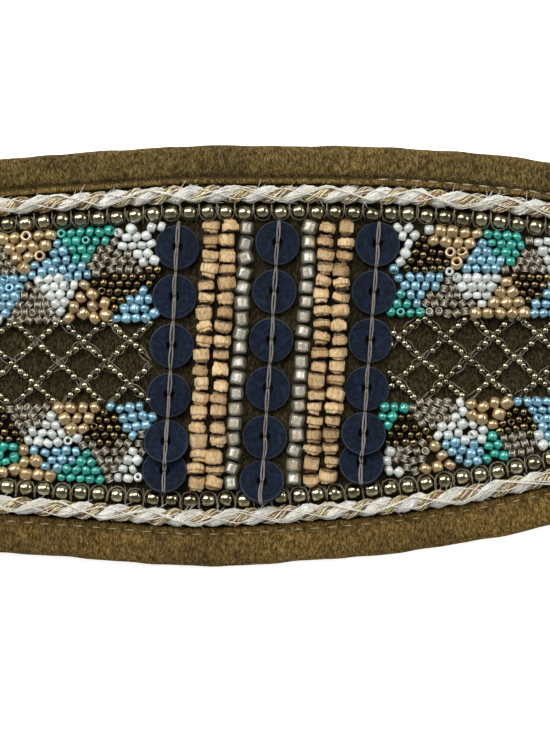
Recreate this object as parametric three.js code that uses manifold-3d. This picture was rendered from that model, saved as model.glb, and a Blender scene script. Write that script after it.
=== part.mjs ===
// A wide beaded waist belt, laid flat with its beadwork up, in millimetres with +Z up.
// X runs along the belt, Y across it, and the underside of the folded edging lies on Z = 0.
// The origin is under the middle of the belt's outline.
import * as THREE from "three";
import { mergeVertices } from "three/addons/utils/BufferGeometryUtils.js";
import Module from "manifold-3d";

const wasm = await Module();
wasm.setup();

// Overall sizes
const beltLength = 920; // from the hook's bend to the rounded tip
const beltWidth = 92.6; // at the widest place
const strapWidth = 40;
const taperLength = 280; // from the middle to where each side has narrowed to the strap
const panelLength = 400; // the front panel, to which a strap is sewn on at each end

// Suede
const bodyThickness = 2;
const edgingThickness = 1.2;
const edgingWidth = 8.6; // how far the folded edging reaches in from the belt's edge
const foldSoftness = 1.1; // rounding of the fold
const layerGap = 0.3;
const edgeStep = 20; // spacing of the points along a bent edge

// Beaded field
const beadedLength = 270;
const endRounding = 20; // how far the beaded field's round ends reach along the belt
const trimCordDiameter = 3.9;
const bronzeBeadDiameter = 3.2;
const meetingLength = 2; // straight stretch where the upper and the lower line meet
const fieldStep = 18; // spacing of the points of the lines round the field
const tubeStep = 2.4; // spacing of a tube's rings, in diameters

// Middle columns
const discDiameter = 9.8;
const discThickness = 1.7;
const discHoleDiameter = 2.3;
const discGap = 0.3; // least gap between the discs of a column
const discTuck = 6.4; // step to the last disc of a side column, which is tucked under its neighbour
// How far each column's last disc reaches over the bronze beads, and how far its first one is
// from the field's upper edge
const discOverhang = { left: 1.3, middle: 4.2, right: 1.4 };
const discStart = { left: 0.9, middle: 0, right: 0 };
const woodBeadDiameter = 3.7;
const woodCoreDiameter = 1;
const woodBeadGap = 0.35;
const silverBeadDiameter = 3.3;
const columnClearance = 0.3;
const columnLean = 0.0655; // along the belt for each unit across it
const columnSpread = 0.02; // share by which the columns are further apart at the top
const columnMiddle = -0.4; // where the middle column crosses the belt's long axis

// Mosaic and net
const mosaicThickness = 2.1;
const mosaicClearance = 0.4; // between the mosaics and the bronze beads, beside the usual gap
const netHalfHeight = 8.8;
const netMiddle = -1; // height of the net's middle line at the belt's middle
const netLean = 0.012; // rise of that line along the belt
const netTaper = 56; // length over which the net closes
const netEndMargin = 17; // from the net's end to the end of the beaded field
const netDiamondLength = 10.3;
const netDiamondHeight = 9.4;
const netFirstCrossing = { left: 4.3, right: 0.8 }; // from the middle of the side column's discs
const netStringWidth = 1.4;
const netStep = 8; // spacing of the points along the net's edges
const mosaicStep = 11; // spacing of the points along the mosaics' outer edges

// Clasp
const claspWall = 1;
const claspWidth = 36;
const claspGrip = 11;
const hookWidth = 15;
const hookLength = 16;
const hookLip = 9;
const slotWidth = 3; // along the belt
const slotAcross = 17;
const slotCount = 3;
const slotPitch = 25;
const slotFromTip = 38;

const netEnd = beadedLength / 2 - netEndMargin;
const netStraight = netEnd - netTaper;

// Heights of the layers
const bodyBottom = edgingThickness + layerGap;
const bodyTop = bodyBottom + bodyThickness;
const edgingTop = bodyTop + layerGap + edgingThickness;
const beadBottom = bodyTop + layerGap;

// The belt's outline. along is a share of the taper length from the middle, and upper and lower
// are shares of the way from the strap's half width (0) to the full half width (1).
const outline = [
  { along: -1.0, upper: 0, lower: 0 },
  { along: -0.82, upper: 0.06, lower: 0.06 },
  { along: -0.64, upper: 0.26, lower: 0.26 },
  { along: -0.5, upper: 0.51, lower: 0.51 },
  { along: -0.39, upper: 0.68, lower: 0.68 },
  { along: -0.29, upper: 0.81, lower: 0.81 },
  { along: -0.213, upper: 0.891, lower: 0.884 },
  { along: -0.135, upper: 0.951, lower: 0.942 },
  { along: -0.056, upper: 1, lower: 1 },
  { along: 0.022, upper: 1, lower: 0.958 },
  { along: 0.1, upper: 0.982, lower: 0.884 },
  { along: 0.179, upper: 0.917, lower: 0.749 },
  { along: 0.218, upper: 0.866, lower: 0.658 },
  { along: 0.29, upper: 0.76, lower: 0.53 },
  { along: 0.39, upper: 0.58, lower: 0.37 },
  { along: 0.5, upper: 0.37, lower: 0.22 },
  { along: 0.64, upper: 0.17, lower: 0.1 },
  { along: 0.82, upper: 0.04, lower: 0.02 },
  { along: 1.0, upper: 0, lower: 0 },
];

// Lengths of the hand-cut wooden beads in turn, as shares of their mean length
const woodCuts = [0.95, 1.1, 0.8, 1.25, 0.9, 0.85, 1.15, 1.0, 0.9, 1.2, 0.85, 1.05];
const woodBeadsInString = 19;

const materials = {
  suede: new THREE.MeshStandardMaterial({ color: 0x6a572f, roughness: 0.95 }),
  ground: new THREE.MeshStandardMaterial({ color: 0x463c24, roughness: 0.95 }),
  trim: new THREE.MeshStandardMaterial({ color: 0xd8d0bc, roughness: 0.8 }),
  bronze: new THREE.MeshStandardMaterial({ color: 0x8a7f55, roughness: 0.25, metalness: 0.9 }),
  navy: new THREE.MeshStandardMaterial({ color: 0x22304a, roughness: 0.6 }),
  wood: new THREE.MeshStandardMaterial({ color: 0xd9ab78, roughness: 0.7 }),
  silver: new THREE.MeshStandardMaterial({ color: 0xcfc8b4, roughness: 0.2, metalness: 0.5 }),
  seed: new THREE.MeshStandardMaterial({ color: 0x8fb4b8, roughness: 0.35 }),
  brass: new THREE.MeshStandardMaterial({ color: 0x8f8052, roughness: 0.35, metalness: 0.9 }),
};

const belt = new THREE.Group();

function addPiece(name, geometry, material) {
  const piece = new THREE.Mesh(geometry, material);
  piece.name = name;
  belt.add(piece);
  return piece;
}

// Solids for boolean work
function toSolid(geometry) {
  const bare = geometry.clone();
  bare.deleteAttribute("normal");
  bare.deleteAttribute("uv");
  const merged = mergeVertices(bare, 1e-4);
  const mesh = new wasm.Mesh({
    numProp: 3,
    vertProperties: merged.attributes.position.array,
    triVerts: new Uint32Array(merged.index.array),
  });
  return new wasm.Manifold(mesh);
}

function toGeometry(solid) {
  const mesh = solid.getMesh();
  const geometry = new THREE.BufferGeometry();
  geometry.setAttribute("position", new THREE.BufferAttribute(mesh.vertProperties, 3));
  geometry.setIndex(new THREE.BufferAttribute(mesh.triVerts, 1));
  geometry.computeVertexNormals();
  return geometry;
}

// A smooth reading of one column of a table, with no overshoot past its rows.
function readTable(rows, column, along) {
  if (along <= rows[0].along) return rows[0][column];
  const last = rows.length - 1;
  if (along >= rows[last].along) return rows[last][column];
  const slope = (i) =>
    (rows[i + 1][column] - rows[i][column]) / (rows[i + 1].along - rows[i].along);
  const tangent = (i) => {
    if (i === 0 || i === last) return 0;
    const before = slope(i - 1);
    const after = slope(i);
    return before * after <= 0 ? 0 : (2 * before * after) / (before + after);
  };
  const i = rows.findIndex((row) => row.along > along) - 1;
  const span = rows[i + 1].along - rows[i].along;
  const t = (along - rows[i].along) / span;
  const rise = t * t * (3 - 2 * t);
  const curl = t * (1 - t);
  return (
    rows[i][column] * (1 - rise) +
    rows[i + 1][column] * rise +
    curl * (1 - t) * span * tangent(i) -
    curl * t * span * tangent(i + 1)
  );
}

// How far the belt's edge is from its long axis, on the upper (1) or lower (-1) side.
function edgeReach(side, x) {
  const share = readTable(outline, side > 0 ? "upper" : "lower", x / taperLength);
  return strapWidth / 2 + ((beltWidth - strapWidth) / 2) * share;
}

const middleLine = (x) => (edgeReach(1, x) - edgeReach(-1, x)) / 2;
const halfHeight = (x) => (edgeReach(1, x) + edgeReach(-1, x)) / 2;

// Places along a run from one end to the other, whose ends can be rounded off. close falls from
// 1 to 0 round such an end.
function placesAlong({ from, to, step, roundFrom = 0, roundTo = 0, arcSteps = 5 }) {
  const places = [];
  const quarter = Math.PI / 2;
  for (let i = 0; roundFrom && i < arcSteps; i++) {
    const turn = quarter * (1 - i / arcSteps);
    places.push({ x: from - roundFrom * Math.sin(turn), close: Math.cos(turn) });
  }
  const count = Math.max(1, Math.round((to - from) / step));
  for (let i = 0; i <= count; i++) places.push({ x: from + ((to - from) * i) / count, close: 1 });
  for (let i = 1; roundTo && i <= arcSteps; i++) {
    const turn = (quarter * i) / arcSteps;
    places.push({ x: to + roundTo * Math.sin(turn), close: Math.cos(turn) });
  }
  return places;
}

// The line that runs at an inset from the belt's upper or lower edge. A seam keeps the ends of
// the upper and the lower line apart where they meet.
function insetLine(side, inset, places, seam = 0) {
  return places.map(({ x, close }) => {
    const reach = (halfHeight(x) - inset) * close + (seam / 2) * (1 - close);
    return new THREE.Vector2(x, middleLine(x) + side * reach);
  });
}

// Places along a long edge between two places. The belt's tip is rounded.
function edgePlaces(inset, from, to = Infinity) {
  const bends = placesAlong({ from: -taperLength, to: taperLength, step: edgeStep });
  const tipMiddle = beltLength / 2 - strapWidth / 2;
  const round = strapWidth / 2 - inset;
  const tip = placesAlong({ from: tipMiddle, to: tipMiddle, step: edgeStep, roundTo: round });
  const apart = edgeStep / 4;
  const between = [...bends, ...tip.slice(1)].filter(({ x }) => x > from + apart && x < to - apart);
  const ends = Number.isFinite(to) ? [{ x: to, close: 1 }] : [];
  return [{ x: from, close: 1 }, ...between, ...ends];
}

const fieldPlaces = (inset, step) => {
  const straight = beadedLength / 2 - endRounding;
  const round = endRounding - (inset - edgingWidth);
  return placesAlong({ from: -straight, to: straight, step, roundFrom: round, roundTo: round });
};

function slab(shape, bottom, thickness) {
  const geometry = new THREE.ExtrudeGeometry(shape, { depth: thickness, bevelEnabled: false });
  geometry.translate(0, 0, bottom);
  return geometry;
}

// Sweeps a section along the belt's edge. A section's points, which run anticlockwise, are a
// distance in from the edge and a height.
function sweepAlongEdge(side, places, section) {
  const loop = side > 0 ? section : [...section].reverse();
  const positions = [];
  const indices = [];
  insetLine(side, 0, places, layerGap).forEach((point, i) => {
    const { close } = places[i];
    const inward = new THREE.Vector2(-Math.sqrt(1 - close ** 2), -side * close);
    for (const { x: inset, y: height } of loop)
      positions.push(point.x + inward.x * inset, point.y + inward.y * inset, height);
  });
  const count = loop.length;
  for (let i = 0; i + 1 < places.length; i++)
    for (let j = 0; j < count; j++) {
      const here = i * count + j;
      const next = i * count + ((j + 1) % count);
      indices.push(here, here + count, next, next, here + count, next + count);
    }
  const end = (places.length - 1) * count;
  for (const [a, b, c] of THREE.ShapeUtils.triangulateShape(section, [])) {
    const at = (k) => (side > 0 ? k : count - 1 - k);
    indices.push(at(a), at(side > 0 ? b : c), at(side > 0 ? c : b));
    indices.push(end + at(a), end + at(side > 0 ? c : b), end + at(side > 0 ? b : c));
  }
  const geometry = new THREE.BufferGeometry();
  geometry.setAttribute("position", new THREE.Float32BufferAttribute(positions, 3));
  geometry.setIndex(indices);
  geometry.computeVertexNormals();
  return geometry;
}

// A round tube along a line at one height
function tube(line, height, diameter) {
  const sides = 8;
  const points = line.map((point) => new THREE.Vector3(point.x, point.y, height));
  const path = points.length > 2 ? new THREE.CatmullRomCurve3(points) : new THREE.LineCurve3(...points);
  const section = new THREE.Shape(
    Array.from({ length: sides }, (_, i) => {
      const turn = ((i + 0.5) * 2 * Math.PI) / sides;
      return new THREE.Vector2(Math.cos(turn), Math.sin(turn)).multiplyScalar(diameter / 2);
    }),
  );
  const steps = Math.max(2, Math.round(path.getLength() / (tubeStep * diameter)));
  return new THREE.ExtrudeGeometry(section, { steps, extrudePath: path });
}

// Insets of the lines that frame the beadwork
const cordInset = edgingWidth + layerGap + trimCordDiameter / 2;
const bronzeInset = cordInset + trimCordDiameter / 2 + layerGap + bronzeBeadDiameter / 2;
const fieldInset = bronzeInset + bronzeBeadDiameter / 2 + layerGap;
const mosaicInset = fieldInset + mosaicClearance;

// The front panel and the two straps, from left to right
const claspBack = -beltLength / 2 + hookLength;
const bodyStart = claspBack + claspWall + layerGap;
const edgingStart = claspBack + claspGrip + layerGap;
const panelEnd = panelLength / 2 - layerGap / 2;
const strapStart = panelLength / 2 + layerGap / 2;
const stretches = [
  { name: "strap_left", bodyFrom: bodyStart, edgingFrom: edgingStart, to: -strapStart },
  { name: "panel", bodyFrom: -panelEnd, edgingFrom: -panelEnd, to: panelEnd },
  { name: "strap_right", bodyFrom: strapStart, edgingFrom: strapStart },
];

function cutSlot(shape, middle) {
  const flat = (slotAcross - slotWidth) / 2;
  const slot = new THREE.Path();
  slot.absarc(middle, flat, slotWidth / 2, 0, Math.PI, false);
  slot.absarc(middle, -flat, slotWidth / 2, Math.PI, 2 * Math.PI, false);
  shape.holes.push(new THREE.Path(slot.getPoints(3).slice(0, -1)));
}

// Flat suede inside the edging. The right strap has the slots that take the hook.
function makeBody() {
  const inset = edgingThickness + layerGap;
  for (const { name, bodyFrom, to } of stretches) {
    const places = edgePlaces(inset, bodyFrom, to);
    const upper = insetLine(1, inset, places);
    const lower = insetLine(-1, inset, places);
    const shape = new THREE.Shape([...(to ? lower : lower.slice(0, -1)), ...upper.reverse()]);
    for (let i = 0; !to && i < slotCount; i++)
      cutSlot(shape, beltLength / 2 - slotFromTip - i * slotPitch);
    addPiece(`suede_${name}`, slab(shape, bodyBottom, bodyThickness), materials.ground);
  }
}

// Folded suede edging: a strip that wraps round each long edge
function makeEdging() {
  const soft = foldSoftness;
  const width = edgingWidth;
  const under = edgingThickness;
  const over = edgingTop - edgingThickness;
  const section = [
    [width, 0],
    [width, under],
    [edgingThickness, under],
    [edgingThickness, over],
    [width, over],
    [width, edgingTop],
    [1.5 * soft, edgingTop],
    [soft / 2, edgingTop - soft / 2],
    [0, edgingTop - 1.5 * soft],
    [0, 1.5 * soft],
    [soft / 2, soft / 2],
    [1.5 * soft, 0],
  ].map(([inset, height]) => new THREE.Vector2(inset, height));
  for (const { name, edgingFrom, to } of stretches)
    for (const [sideName, side] of [["upper", 1], ["lower", -1]]) {
      const strip = sweepAlongEdge(side, edgePlaces(0, edgingFrom, to), section);
      addPiece(`edging_${name}_${sideName}`, strip, materials.suede);
    }
}

// A line round one half of the field, which ends straight where it meets the other half's line
function frameLine(side, inset) {
  const line = insetLine(side, inset, fieldPlaces(inset, fieldStep), 2 * meetingLength);
  const meet = (point) => new THREE.Vector2(point.x, point.y - side * (meetingLength - layerGap / 2));
  return [meet(line[0]), ...line, meet(line[line.length - 1])];
}

// Twisted trim cord and the row of bronze beads inside it, as plain tubes
function makeFrameLines() {
  for (const [name, side] of [["upper", 1], ["lower", -1]]) {
    const cordHeight = beadBottom + trimCordDiameter / 2;
    const cord = tube(frameLine(side, cordInset), cordHeight, trimCordDiameter);
    addPiece(`trim_cord_${name}`, cord, materials.trim);
    const beadHeight = beadBottom + bronzeBeadDiameter / 2;
    const beads = tube(frameLine(side, bronzeInset), beadHeight, bronzeBeadDiameter);
    addPiece(`bronze_bead_row_${name}`, beads, materials.bronze);
  }
}

// The columns stand side by side from the middle outwards
const silverOffset = discDiameter / 2 + columnClearance + silverBeadDiameter / 2;
const woodInnerOffset = silverOffset + (silverBeadDiameter + woodBeadDiameter) / 2 + columnClearance;
const woodOuterOffset = woodInnerOffset + woodBeadDiameter + columnClearance;
const discOffset = woodOuterOffset + (woodBeadDiameter + discDiameter) / 2 + columnClearance;
const fieldStart = discOffset + 0.8 * discDiameter; // where the side fields are past every disc

function columnAt(offset, y) {
  const spread = 1 + (columnSpread * y) / (beltWidth / 2);
  return columnMiddle + columnLean * y + offset * spread;
}

const fieldEdgeAt = (side, x, inset) => side * (edgeReach(side, x) - inset);
const fieldTopAt = (x) => fieldEdgeAt(1, x, fieldInset);
const fieldBottomAt = (x) => fieldEdgeAt(-1, x, fieldInset);

// The straight line of a column, from the field's upper edge to its lower edge
function columnLine(offset) {
  const top = fieldTopAt(columnAt(offset, fieldTopAt(offset)));
  const bottom = fieldBottomAt(columnAt(offset, fieldBottomAt(offset)));
  return [
    new THREE.Vector2(columnAt(offset, top), top),
    new THREE.Vector2(columnAt(offset, bottom), bottom),
  ];
}

function discGeometry() {
  const hole = discHoleDiameter / 2;
  const rim = discDiameter / 2;
  const half = discThickness / 2;
  const profile = [
    new THREE.Vector2(hole, -half),
    new THREE.Vector2(rim, -half),
    new THREE.Vector2(rim, half),
    new THREE.Vector2(hole, half),
    new THREE.Vector2(hole, -half),
  ];
  return new THREE.LatheGeometry(profile, 12).rotateX(Math.PI / 2);
}

// The smallest tilt at which a disc that stands on its upper rim clears the bronze beads
function tiltOverBeads(rimY, beadY) {
  const reach = bronzeBeadDiameter / 2;
  const bead = new THREE.Vector2(rimY - beadY, reach);
  const tiltStep = THREE.MathUtils.degToRad(0.5);
  for (let tilt = 0; tilt < Math.PI / 3; tilt += tiltStep) {
    const local = bead.clone().rotateAround(new THREE.Vector2(), -tilt);
    const past = Math.max(-local.x, 0, local.x - discDiameter);
    const above = Math.max(-local.y, 0, local.y - discThickness);
    if (Math.hypot(past, above) >= reach + layerGap) return tilt;
  }
  return Math.PI / 3;
}

// Three columns of navy discs, as many as fit. The last disc of the middle column leans on the
// bronze beads, and the last two of the side columns lean alike, one on the other.
function makeDiscs() {
  const radius = discDiameter / 2;
  for (const [name, offset] of [["left", -discOffset], ["middle", 0], ["right", discOffset]]) {
    const [top, bottom] = columnLine(offset);
    const side = offset !== 0;
    const lastRim = bottom.y + discDiameter - discOverhang[name];
    const firstRim = top.y - discStart[name];
    const room = firstRim - lastRim - (side ? discTuck : 0);
    const steps = Math.floor(room / (discDiameter + discGap));
    const last = side ? steps + 1 : steps;
    const beadY = fieldEdgeAt(-1, columnAt(offset, lastRim - radius), bronzeInset);
    const pairTilt = Math.asin((discThickness + layerGap) / discTuck);
    const tilt = Math.max(tiltOverBeads(lastRim, beadY), side ? pairTilt : 0);
    for (let i = 0; i <= last; i++) {
      const rim = i === last ? lastRim : firstRim - (room * i) / steps;
      const turn = i === last || (side && i === last - 1) ? tilt : 0;
      const y = rim - radius * Math.cos(turn) + (discThickness / 2) * Math.sin(turn);
      const height = radius * Math.sin(turn) + (discThickness / 2) * Math.cos(turn);
      const disc = addPiece(`disc_${name}_${i + 1}`, discGeometry(), materials.navy);
      disc.position.set(columnAt(offset, y), y, beadBottom + height);
      disc.rotation.x = -turn;
    }
  }
}

// A string of hand-cut wooden beads, fused along its thread. It hangs down -Y from its top.
function woodStringGeometry(length, firstCut) {
  const cuts = Array.from(
    { length: woodBeadsInString },
    (_, i) => woodCuts[(i + firstCut) % woodCuts.length],
  );
  const sum = cuts.reduce((total, cut) => total + cut, 0);
  const beadRoom = length - woodBeadGap * woodBeadsInString;
  const rod = (diameter, from, rodLength, sides) =>
    toSolid(
      new THREE.CylinderGeometry(diameter / 2, diameter / 2, rodLength, sides).translate(
        0,
        -from - rodLength / 2,
        0,
      ),
    );
  let from = woodBeadGap / 2;
  let string = rod(woodCoreDiameter, from, length - woodBeadGap, 4);
  for (const cut of cuts) {
    const beadLength = (beadRoom * cut) / sum;
    string = string.add(rod(woodBeadDiameter, from, beadLength, 10));
    from += beadLength + woodBeadGap;
  }
  return toGeometry(string);
}

function makeStrings() {
  const woodOffsets = [-woodOuterOffset, -woodInnerOffset, woodInnerOffset, woodOuterOffset];
  woodOffsets.forEach((offset, i) => {
    const [top, bottom] = columnLine(offset);
    const along = bottom.clone().sub(top);
    const geometry = woodStringGeometry(along.length(), 5 * i);
    const string = addPiece(`wood_bead_string_${i + 1}`, geometry, materials.wood);
    string.position.set(top.x, top.y, beadBottom + woodBeadDiameter / 2);
    string.rotation.z = Math.atan2(along.x, -along.y);
  });
  [-silverOffset, silverOffset].forEach((offset, i) => {
    const line = columnLine(offset);
    const height = beadBottom + silverBeadDiameter / 2;
    const string = tube(line, height, silverBeadDiameter);
    addPiece(`silver_bead_string_${i + 1}`, string, materials.silver);
  });
}

// The net's band keeps its height beside the columns and closes to a point at its end.
const netClose = (x) => {
  const past = Math.max(0, Math.abs(x) - netStraight) / (netEnd - netStraight);
  return Math.cos((Math.PI / 2) * Math.min(1, past));
};
const netMiddleAt = (x) => netMiddle + netLean * x;
const netEdgeAt = (side, x, clearance = 0) => {
  const close = netClose(x);
  const middle = netMiddleAt(x) * close + middleLine(x) * (1 - close);
  return middle + side * (netHalfHeight * close + clearance);
};

// A line through a side field, from just past the discs of its side column outwards. heightAt
// gives its height at each of its places.
function sideLine(end, places, heightAt) {
  const firstY = heightAt(end * discOffset);
  const pastDiscs = discDiameter / 2 + columnClearance;
  const first = new THREE.Vector2(columnAt(end * discOffset, firstY) + end * pastDiscs, firstY);
  const rest = places.map(({ x }) => new THREE.Vector2(end * x, heightAt(end * x)));
  return [first, ...rest];
}

const netPlaces = (end) => placesAlong({ from: fieldStart, to: end, step: netStep });

// Two seed bead mosaics on each end of the belt, one on each side of the net
function makeMosaics() {
  for (const [endName, end] of [["left", -1], ["right", 1]])
    for (const [sideName, side] of [["upper", 1], ["lower", -1]]) {
      const outerPlaces = fieldPlaces(mosaicInset, mosaicStep)
        .map(({ x, close }) => ({ x: x * end, close }))
        .filter(({ x }) => x > fieldStart)
        .sort((a, b) => a.x - b.x);
      const closeAt = new Map(outerPlaces.map(({ x, close }) => [end * x, close]));
      const outer = sideLine(end, outerPlaces, (x) => {
        const close = closeAt.get(x) ?? 1;
        const reach = (halfHeight(x) - mosaicInset) * close + (layerGap / 2) * (1 - close);
        return middleLine(x) + side * reach;
      });
      const inner = sideLine(end, netPlaces(netEnd), (x) => {
        const clearance = layerGap * (0.5 + netClose(x));
        return netEdgeAt(side, x, clearance);
      });
      const shape = new THREE.Shape([...outer, ...inner.reverse()]);
      const geometry = slab(shape, beadBottom, mosaicThickness);
      addPiece(`seed_mosaic_${sideName}_${endName}`, geometry, materials.seed);
    }
}

// A net of crossing strings of the smallest beads, cut through in diamonds
function makeNets() {
  const lean = Math.atan(netDiamondHeight / netDiamondLength);
  const barLength = (2 * netHalfHeight + netStringWidth) / Math.sin(lean) + netDiamondLength;
  const count = Math.ceil((netEnd - discOffset) / netDiamondLength) + 1;
  for (const [endName, end] of [["left", -1], ["right", 1]]) {
    const upper = sideLine(end, netPlaces(netEnd - netStringWidth), (x) => netEdgeAt(1, x));
    const lower = sideLine(end, netPlaces(netEnd - netStringWidth), (x) => netEdgeAt(-1, x));
    const outline = new THREE.Shape([...upper, ...lower.reverse()]);
    const band = toSolid(slab(outline, beadBottom, netStringWidth));
    const bars = [];
    for (let i = -1; i < count; i++)
      for (const turn of [-lean, lean]) {
        const bar = new THREE.BoxGeometry(barLength, netStringWidth, netStringWidth);
        const x = end * (discOffset + netFirstCrossing[endName] + i * netDiamondLength);
        bar.rotateZ(turn).translate(x, netMiddleAt(x), beadBottom + netStringWidth / 2);
        bars.push(toSolid(bar));
      }
    const net = bars.reduce((joined, bar) => joined.add(bar)).intersect(band);
    const whole = net
      .decompose()
      .reduce((largest, loose) => (loose.volume() > largest.volume() ? loose : largest));
    addPiece(`bead_net_${endName}`, toGeometry(whole), materials.bronze);
  }
}

// One plain metal clasp: a clamp on the body's straight end, with a hook that turns back under
function makeClasp() {
  const low = bodyBottom - layerGap - claspWall;
  const high = bodyTop + layerGap + claspWall;
  const plate = (points, width) => {
    const shape = new THREE.Shape(points.map(([x, z]) => new THREE.Vector2(x, z)));
    const geometry = new THREE.ExtrudeGeometry(shape, { depth: width, bevelEnabled: false });
    return toSolid(geometry.translate(0, 0, -width / 2).rotateX(Math.PI / 2));
  };
  const back = claspBack;
  const clamp = plate(
    [
      [back, low],
      [back + claspGrip, low],
      [back + claspGrip, low + claspWall],
      [back + claspWall, low + claspWall],
      [back + claspWall, high - claspWall],
      [back + claspGrip, high - claspWall],
      [back + claspGrip, high],
      [back, high],
    ],
    claspWidth,
  );
  const end = back - hookLength;
  const bend = (high - low) / 2;
  const middle = (high + low) / 2;
  const arc = (radius, turns) =>
    turns.map((turn) => [end + bend - radius * Math.cos(turn), middle + radius * Math.sin(turn)]);
  const turns = [1, 0.5, 0, -0.5, -1].map((share) => (share * Math.PI) / 2);
  const lip = end + hookLip;
  const hook = plate(
    [
      [back + claspWall / 2, high - claspWall],
      [back + claspWall / 2, high],
      ...arc(bend, turns),
      [lip, low],
      [lip, low + claspWall],
      ...arc(bend - claspWall, [...turns].reverse()),
    ].reverse(),
    hookWidth,
  );
  addPiece("end_clasp", toGeometry(clamp.add(hook)), materials.brass);
}

makeBody();
makeEdging();
makeFrameLines();
makeDiscs();
makeStrings();
makeMosaics();
makeNets();
makeClasp();

export default belt;
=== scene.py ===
"""A wide suede waist belt with columns of discs and beads, seed bead mosaics and bead nets.

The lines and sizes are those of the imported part, and the discs' places are read from its frame.
Lengths are worked out in millimetres and made metres when a mesh is written. X runs along the
belt, Y across it and Z up out of the beadwork.
"""

import math

import bmesh
import bpy
import numpy as np
from bpy.props import FloatProperty, FloatVectorProperty, IntProperty, PointerProperty
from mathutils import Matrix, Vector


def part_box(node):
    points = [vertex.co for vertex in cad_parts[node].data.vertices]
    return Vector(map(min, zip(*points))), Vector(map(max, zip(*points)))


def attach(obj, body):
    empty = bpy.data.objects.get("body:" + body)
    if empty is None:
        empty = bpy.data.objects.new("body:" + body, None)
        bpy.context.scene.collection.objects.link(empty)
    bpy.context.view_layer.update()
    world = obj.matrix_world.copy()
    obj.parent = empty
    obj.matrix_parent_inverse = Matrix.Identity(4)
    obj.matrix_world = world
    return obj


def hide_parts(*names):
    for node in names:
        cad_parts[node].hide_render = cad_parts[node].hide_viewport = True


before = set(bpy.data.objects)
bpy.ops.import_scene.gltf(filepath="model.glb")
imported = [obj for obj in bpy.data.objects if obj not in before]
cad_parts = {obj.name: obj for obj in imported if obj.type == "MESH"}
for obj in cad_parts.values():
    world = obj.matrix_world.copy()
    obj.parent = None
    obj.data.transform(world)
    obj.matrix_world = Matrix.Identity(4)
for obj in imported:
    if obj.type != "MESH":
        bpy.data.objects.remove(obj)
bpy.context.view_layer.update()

bl_info = {
    "name": "Beaded belt",
    "version": (1, 0, 0),
    "blender": (4, 5, 0),
    "location": "3D View > Sidebar > Belt",
    "description": "Models a suede waist belt with discs, bead columns, mosaics and nets",
    "category": "Add Mesh",
}

MM = 0.001
TURN = 2 * math.pi

# The belt as the part's source has it, in millimetres
BELT_LENGTH = 920
BELT_WIDTH = 92.6
STRAP_WIDTH = 40
TAPER_LENGTH = 280
PANEL_LENGTH = 400
EDGING_WIDTH = 8.6
EDGING_THICKNESS = 1.2
LAYER_GAP = 0.3
BODY_BOTTOM = 1.5
BODY_TOP = 3.5
BEAD_BOTTOM = 3.8
BEADED_LENGTH = 270
END_ROUNDING = 20
MEETING_LENGTH = 2
CORD_INSET = 10.85
BRONZE_INSET = 14.7
FIELD_INSET = 16.6
MOSAIC_INSET = 17.0
COLUMN_MIDDLE = -0.4
COLUMN_LEAN = 0.0655
COLUMN_SPREAD = 0.02
SILVER_OFFSET = 6.85
WOOD_OFFSETS = (-14.65, -10.65, 10.65, 14.65)
DISC_OFFSET = 21.7
DISC_DIAMETER = 9.8
DISC_THICKNESS = 1.7
WOOD_DIAMETER = 3.7
WOOD_GAP = 0.35
WOOD_CUTS = (0.95, 1.1, 0.8, 1.25, 0.9, 0.85, 1.15, 1.0, 0.9, 1.2, 0.85, 1.05)
WOOD_COUNT = 19
NET_HALF_HEIGHT = 8.8
NET_MIDDLE = -1
NET_LEAN = 0.012
NET_END = 118
NET_STRAIGHT = 62
DIAMOND_LENGTH = 10.3
DIAMOND_HEIGHT = 9.4
FIRST_CROSSING = {"left": -26.0, "right": 22.5}
CLASP_BACK = -444
SHEET_START = -442.7
EDGING_START = -432.7
STITCHING_START = -430
SLOT_MIDDLES = (422, 397, 372)
SLOT_WIDTH = 3
SLOT_ACROSS = 17

# Gap at the hidden seams across the belt, too narrow for light to show through
SEAM_GAP = 0.02

# From one point of a mesh to the next along the belt
SHEET_STEP = 2.0
EDGING_STEP = 1.8
CORD_STEP = 0.95
NET_STEP = 0.6

# Painted shade on a stretch of the upper edging, and stitches in a dark thread up to a place
PAINTED_SHADE_MIDDLE = -55
PAINTED_SHADE_REACH = 26
PAINTED_SHADE_DEPTH = 0.13
DARK_STITCHES_END = 24

# The trim cord: its middle above the suede, its strands from that middle and their filaments
CORD_HEIGHT = 1.95
WHITE_OFFSET = 0.56
METALLIC_OFFSET = 0.62
STRAND_RADIUS = 1.2
CORE_RADIUS = 1.15
WHITE_FILAMENTS = 30
METALLIC_FILAMENTS = 26
STRAY_FIBRES = 2600

# Finish of each metallic filament in turn: 0 gold, 1 copper, 2 white and 3 umber
FILAMENT_ORDER = (0, 3, 2, 0, 1, 2, 0, 3, 0, 1)

# Couching threads: shift across the cord, phase of the zigzag and its reach to each side
COUCHING_THREADS = ((0.0, 0.0, 1.6), (0.2, 0.012, 1.5), (-0.16, -0.01, 1.65), (0.05, 0.5, 1.3))

# Waves carved round a wooden bead's side and round its ends: how many, and how deep
SIDE_WAVES = ((2, 0.05), (3, 0.05), (5, 0.04), (7, 0.03))
END_WAVES = ((1, 0.26), (2, 0.16), (4, 0.14), (7, 0.14), (8, 0.1))

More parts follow.
